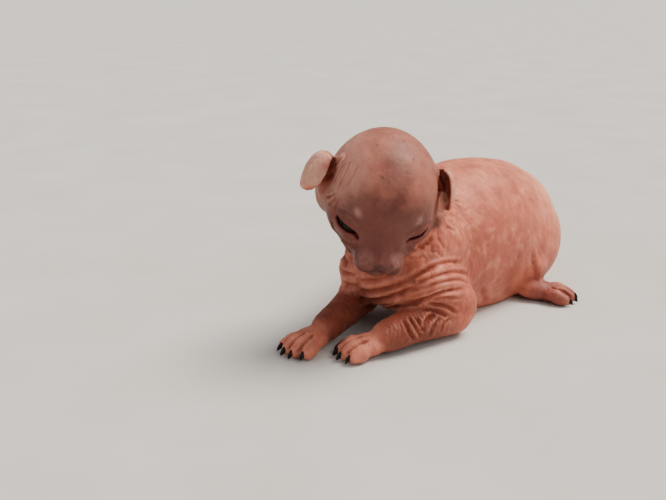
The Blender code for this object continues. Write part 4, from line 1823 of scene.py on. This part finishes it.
@dataclass(frozen=True)
class Claws:
    """Short dark claws, each a tapering tube bent down. Sizes are in millimetres."""

    length: float = 1.7
    root: float = 1.1
    thickness: float = 1.12
    drop: float = 2.0
    ahead: float = 4.3
    height: float = 2.85
    bend: float = 1.9
    taper: float = 2.2
    taper_curve: float = 0.6
    flatness: float = 0.78
    steps: int = 12
    sides: int = 14
    finish: PlainFinish = PlainFinish(
        (0.002, 0.0015, 0.0015), (0.007, 0.005, 0.0045), 0.34, 0.0007, 0.03, 0.00005, 0.16
    )

    def build(self, feet: list[Foot], kitten: bpy.types.Collection) -> None:
        """Makes one piece for each foot's claws.

        Args:
            feet: The kitten's feet.
            kitten: Where the new objects go.
        """
        material = self.finish.material("claw_horn")
        for foot in feet:
            bm = bmesh.new()
            for toe in foot.toe_places():
                turn = Matrix.Rotation(math.radians(toe.fan), 4, "Z")
                tip = Matrix.Translation(Vector((toe.across, toe.along + self.ahead, self.height)) * MM)
                self.add(bm, foot.frame() @ tip @ turn, toe.size)
            mesh = bpy.data.meshes.new("claws_" + foot.name)
            bm.to_mesh(mesh)
            bm.free()
            obj = as_object("claws_" + foot.name, mesh, kitten)
            dress(obj, material)
            LOG.info("%s: %d faces", obj.name, len(mesh.polygons))

    def add(self, bm: bmesh.types.BMesh, place: Matrix, size: float) -> None:
        """Adds one claw, flattened from its sides.

        Args:
            bm: The mesh that it is added to.
            place: Its frame, +Y forward.
            size: How large its toe is.
        """
        rings = []
        for i in range(self.steps + 1):
            share = i / self.steps
            forward = -self.root + share * (self.length + self.root)
            down = self.drop * share**self.bend
            slope = math.atan2(self.drop * self.bend * share ** (self.bend - 1), self.length + self.root)
            radius = self.thickness * size * (1 - share**self.taper) ** self.taper_curve + 0.02
            ring = []
            for j in range(self.sides):
                angle = 2 * math.pi * j / self.sides
                aside, rise = self.flatness * radius * math.cos(angle), radius * math.sin(angle)
                point = Vector((aside, forward + rise * math.sin(slope), -down + rise * math.cos(slope))) * MM
                point = place @ point
                point.z = max(point.z, 0.05 * MM)
                ring.append(bm.verts.new(point))
            rings.append(ring)
        for low, high in zip(rings, rings[1:]):
            for j in range(self.sides):
                after = (j + 1) % self.sides
                bm.faces.new((low[j], high[j], high[after], low[after]))
        bm.faces.new(rings[0])
        bm.faces.new(reversed(rings[-1]))
        bmesh.ops.recalc_face_normals(bm, faces=bm.faces[:])


# Hairs


@dataclass(frozen=True)
class HairStyle:
    """One kind of hair: its length and thickness in millimetres, how far it stands up and how it curls."""

    length: tuple[float, float]
    thickness: float
    stand: float
    curl: float
    steps: int


class Hairs:
    """Solid tapering hairs, each rooted in the skin and mapped to a small patch at its root."""

    patch_radius: float = 0.0015

    def __init__(self, skin: Skin, seed: int) -> None:
        """Reads the finished skin and its map.

        Args:
            skin: The finished skin.
            seed: The seed of the hairs' random draws.
        """
        mesh = skin.obj.data
        self.points = points_of(mesh)
        self.normals = normals_of(mesh)
        self.faces = skin.faces
        coords = np.empty(len(mesh.loops) * 2, np.float32)
        mesh.uv_layers["OFBake"].data.foreach_get("uv", coords)
        self.patches = coords.reshape(-1, 4, 2).mean(axis=1)
        self.random = np.random.default_rng(seed)

    def build(
        self, name: str, roots: Array, lies: Array, style: HairStyle, kitten: bpy.types.Collection
    ) -> bpy.types.Object:
        """Makes one piece of many hairs.

        Args:
            name: The piece's name.
            roots: The face that each hair grows from.
            lies: The direction in which each hair leans.
            style: Their kind.
            kitten: Where the new object goes.

        Returns:
            The piece, with its map.
        """
        corners = self.faces[roots]
        base = self.points[corners].mean(axis=1)
        up = self.normals[corners].mean(axis=1)
        up /= np.linalg.norm(up, axis=1, keepdims=True)
        flat = lies - up * (lies * up).sum(axis=1, keepdims=True)
        flat /= np.linalg.norm(flat, axis=1, keepdims=True) + 1e-9
        wide = np.cross(up, flat)
        count = len(roots)
        long = self.random.uniform(*style.length, count) * MM
        curl = style.curl * self.random.uniform(-1, 1, count)
        stand = style.stand * self.random.uniform(0.6, 1.3, count)
        rings = []
        for i in range(style.steps):
            share = i / style.steps
            travel = long * share
            centre = base + flat * (travel * np.cos(stand))[:, None]
            centre += up * (travel * np.sin(stand) * (1 - 0.25 * share) - 0.06 * MM)[:, None]
            centre += wide * (travel * curl * share)[:, None]
            radius = style.thickness * MM * (1 - 0.75 * share)
            for k in range(3):
                angle = 2 * math.pi * k / 3
                rings.append(centre + radius * (math.cos(angle) * wide + math.sin(angle) * up))
        tip = base + flat * (long * np.cos(stand))[:, None] + up * (long * np.sin(stand) * 0.75)[:, None]
        tip += wide * (long * curl)[:, None]
        rings.append(tip)
        each = 3 * style.steps + 1
        points = np.stack(rings, axis=1).reshape(-1, 3)
        faces = [(0, 2, 1)]
        for i in range(style.steps - 1):
            for k in range(3):
                a, b = 3 * i + k, 3 * i + (k + 1) % 3
                faces.append((a, b, b + 3, a + 3))
        last = 3 * (style.steps - 1)
        faces += [(last + k, last + (k + 1) % 3, each - 1) for k in range(3)]
        listed = [tuple(each * n + v for v in face) for n in range(count) for face in faces]
        mesh = bpy.data.meshes.new(name)
        mesh.from_pydata(points.tolist(), [], listed)
        layer = mesh.uv_layers.new(name="OFBake")
        corner_of = np.empty(len(mesh.loops), np.int32)
        mesh.loops.foreach_get("vertex_index", corner_of)
        hair = corner_of // each
        turn = 2 * math.pi * (corner_of % each) / each
        ring = np.stack([np.cos(turn), np.sin(turn)], axis=1)
        coords = self.patches[roots][hair] + self.patch_radius * ring
        layer.data.foreach_set("uv", np.clip(coords, 0, 1).astype(np.float32).ravel())
        mesh.update()
        return as_object(name, mesh, kitten)


# The kitten's hairs


@dataclass(frozen=True)
class Coat:
    """The sparse down of the whole skin, and the few broken whiskers."""

    down: HairStyle = HairStyle((0.4, 0.9), 0.013, 0.45, 0.25, 2)
    whisker: HairStyle = HairStyle((1.2, 2.8), 0.017, 0.60, 0.40, 6)
    down_count: int = 7000

    def build(self, skin: Skin, kitten: bpy.types.Collection) -> None:
        """Grows the down and the whiskers from the finished skin.

        Args:
            skin: The finished skin.
            kitten: Where the new objects go.
        """
        hairs = Hairs(skin, 7)
        centres = hairs.points[hairs.faces].mean(axis=1)
        self.grow_down(hairs, centres, skin, kitten)
        self.grow_whiskers(hairs, skin, kitten)

    def grow_down(self, hairs: Hairs, centres: Array, skin: Skin, kitten: bpy.types.Collection) -> None:
        """Grows the down, thickest on the ears, muzzle and paws, and lying back along the body.

        Args:
            hairs: The maker of hairs.
            centres: The middle of each of the skin's faces.
            skin: The skin.
            kitten: Where the new object goes.
        """
        frame = skin.head.frame()
        local = through(frame.inverted(), centres) / MM
        density = np.full(len(centres), 0.35)
        on_head = smoothstep(1.2, 1.0, np.linalg.norm(local / np.array([22, 27, 21]), axis=1))
        for side in Side:
            root = np.array(skin.head.ears.root(side)) / MM
            density += 1.6 * smoothstep(17, 10, np.linalg.norm(local - root, axis=1))
        density += 0.6 * smoothstep(9, 4, np.linalg.norm(local - np.array([0, -20, -6]), axis=1))
        for foot in skin.feet:
            distance = np.linalg.norm(foot.local(centres) - np.array(foot.middle()), axis=1)
            density += 0.7 * smoothstep(13, 8, distance)
        density *= 1 - 0.85 * on_head * smoothstep(4, -6, local[:, 1])
        density *= centres[:, 2] > 0.8 * MM
        density *= np.linalg.norm(local - np.array([9.8, -15, -6]), axis=1) > 5.5
        density *= np.linalg.norm(local - np.array([-9.8, -15, -6]), axis=1) > 6.5
        roots = hairs.random.choice(len(centres), self.down_count, replace=False, p=density / density.sum())
        back = np.tile(np.array([0.0, 1.0, -0.45]), (len(roots), 1))
        chosen = centres[roots]
        reaching = smoothstep(-48 * MM, -60 * MM, chosen[:, 1]) * smoothstep(26 * MM, 18 * MM, chosen[:, 2])
        lies = back * (1 - reaching[:, None]) + np.array([0, -1.0, -0.3]) * reaching[:, None]
        headward = np.array(frame.to_3x3() @ Vector((0, 1, 0.1)))
        lies = lies * (1 - on_head[roots][:, None]) + headward * on_head[roots][:, None]
        lies += hairs.random.normal(0, 0.25, lies.shape)
        down = hairs.build("down", roots, lies, self.down, kitten)
        finish = PlainFinish((0.46, 0.27, 0.20), (0.66, 0.44, 0.35), 0.6, 0.002)
        dress(down, finish.material("down"))
        LOG.info("down: %d hairs", len(roots))

    def grow_whiskers(self, hairs: Hairs, skin: Skin, kitten: bpy.types.Collection) -> None:
        """Grows the whiskers from their pits, and a few over each brow.

        Args:
            hairs: The maker of hairs.
            skin: The skin.
            kitten: Where the new object goes.
        """
        frame = skin.head.frame()
        tree = BVHTree.FromPolygons(hairs.points.tolist(), hairs.faces.tolist())
        roots, lies = [], []
        for side in Side:
            for place in whisker_places(side)[::3]:
                roots.append(tree.find_nearest(frame @ (Vector(place) * MM))[2])
                lies.append(frame.to_3x3() @ Vector((side.value * 1.0, -0.25, -0.35)))
            for x in (8.8, 9.9):
                roots.append(tree.find_nearest(frame @ (Vector((side.value * x, -17, 1.6)) * MM))[2])
                lies.append(frame.to_3x3() @ Vector((side.value * 0.6, -0.2, 1.0)))
        directions = np.array([tuple(lie) for lie in lies])
        made = hairs.build("whiskers", np.array(roots), directions, self.whisker, kitten)
        finish = PlainFinish((0.30, 0.20, 0.16), (0.52, 0.40, 0.33), 0.5, 0.002)
        dress(made, finish.material("whisker"))
        LOG.info("whiskers: %d", len(roots))


def whisker_places(side: Side) -> list[Point]:
    """The pits of one whisker pad, in rows, in millimetres of the head's frame.

    Args:
        side: Which pad.

    Returns:
        One place a pit.
    """
    places = []
    for row in range(4):
        for step in range(5 - row % 2):
            along = step * 1.25 + 0.4 * row
            places.append((side.value * (3.4 + 0.95 * along), -26.4 + 1.2 * along, -10.2 - 1.15 * row))
    return places


# The studio


@dataclass(frozen=True)
class Studio:
    """A plain pale floor, even soft light from the right and behind, and the picture's camera."""

    floor_size: float = 14.0
    floor_drop: float = 0.00005
    key_strength: float = 5.5
    fill_strength: float = 0.75
    rim_strength: float = 0.9
    world_strength: float = 0.34

    def lamp(self, name: str, place: Point, strength: float, softness: float, colour: Colour) -> None:
        """One far soft lamp, whose light is as strong on the whole floor.

        Args:
            name: Its name.
            place: The direction it shines from.
            strength: Its light in watts a square metre.
            softness: How wide it looks from the kitten, in degrees.
            colour: The colour of its light.
        """
        light = bpy.data.lights.new(name, "SUN")
        light.energy = strength
        light.angle = math.radians(softness)
        light.color = colour
        obj = bpy.data.objects.new(name, light)
        turn = (-Vector(place)).to_track_quat("-Z", "Y").to_matrix().to_4x4()
        obj.matrix_world = Matrix.Translation(place) @ turn
        bpy.context.scene.collection.objects.link(obj)

    def build(self, view: PictureView) -> None:
        """Makes the floor, the lights, the world and the camera.

        Args:
            view: The picture's view.
        """
        bpy.ops.mesh.primitive_plane_add(size=self.floor_size)
        floor = bpy.context.object
        floor.name = "floor"
        floor.location.z = -self.floor_drop
        finish = PlainFinish((0.55, 0.53, 0.50), (0.60, 0.58, 0.55), 0.8, 0.05, 0.0, 0.0004)
        floor.data.materials.append(finish.material("floor"))
        self.lamp("key", (0.20, 0.26, 0.56), self.key_strength, 34, (1.0, 0.93, 0.84))
        self.lamp("fill", (-0.25, -0.50, 0.34), self.fill_strength, 60, (0.96, 0.97, 1.0))
        self.lamp("rim", (0.42, -0.10, 0.30), self.rim_strength, 40, (1.0, 0.96, 0.92))
        world = bpy.data.worlds.new("studio")
        world.use_nodes = True
        backdrop = world.node_tree.nodes["Background"]
        backdrop.inputs["Color"].default_value = (0.86, 0.87, 0.88, 1)
        backdrop.inputs["Strength"].default_value = self.world_strength
        bpy.context.scene.world = world
        view.build()


FLESH = (
    "head", "ear_left", "ear_right", "neck", "torso", "foreleg_left", "foreleg_right", "forepaw_left",
    "forepaw_right", "hindleg_left", "hindleg_right", "hindpaw_left", "hindpaw_right", "tail",
)


def main() -> None:
    """Builds the kitten and its studio."""
    logging.basicConfig(level=logging.INFO, format="%(message)s")
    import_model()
    view = PictureView()
    head = Head()
    feet = all_feet()
    kitten = new_collection("sphynx_kitten")
    shop = new_collection("workshop")

    skin = Skin(head, feet, view)
    skin.raise_form(shop)
    LOG.info("form: %d faces", len(skin.obj.data.polygons))
    skin.unwrap()
    LOG.info("unwrapped")
    skin.survey()
    skin.fold()
    SkinTones().paint(skin)
    shop.objects.unlink(skin.obj)
    kitten.objects.link(skin.obj)
    dress(skin.obj, SkinFinish().material("bare_skin"))
    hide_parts(*FLESH)
    LOG.info("skin: %d faces", len(skin.obj.data.polygons))

    Eyeballs().build(head, kitten)
    Claws().build(feet, kitten)
    Coat().build(skin, kitten)
    Studio().build(view)


if __name__ == "__main__":
    main()
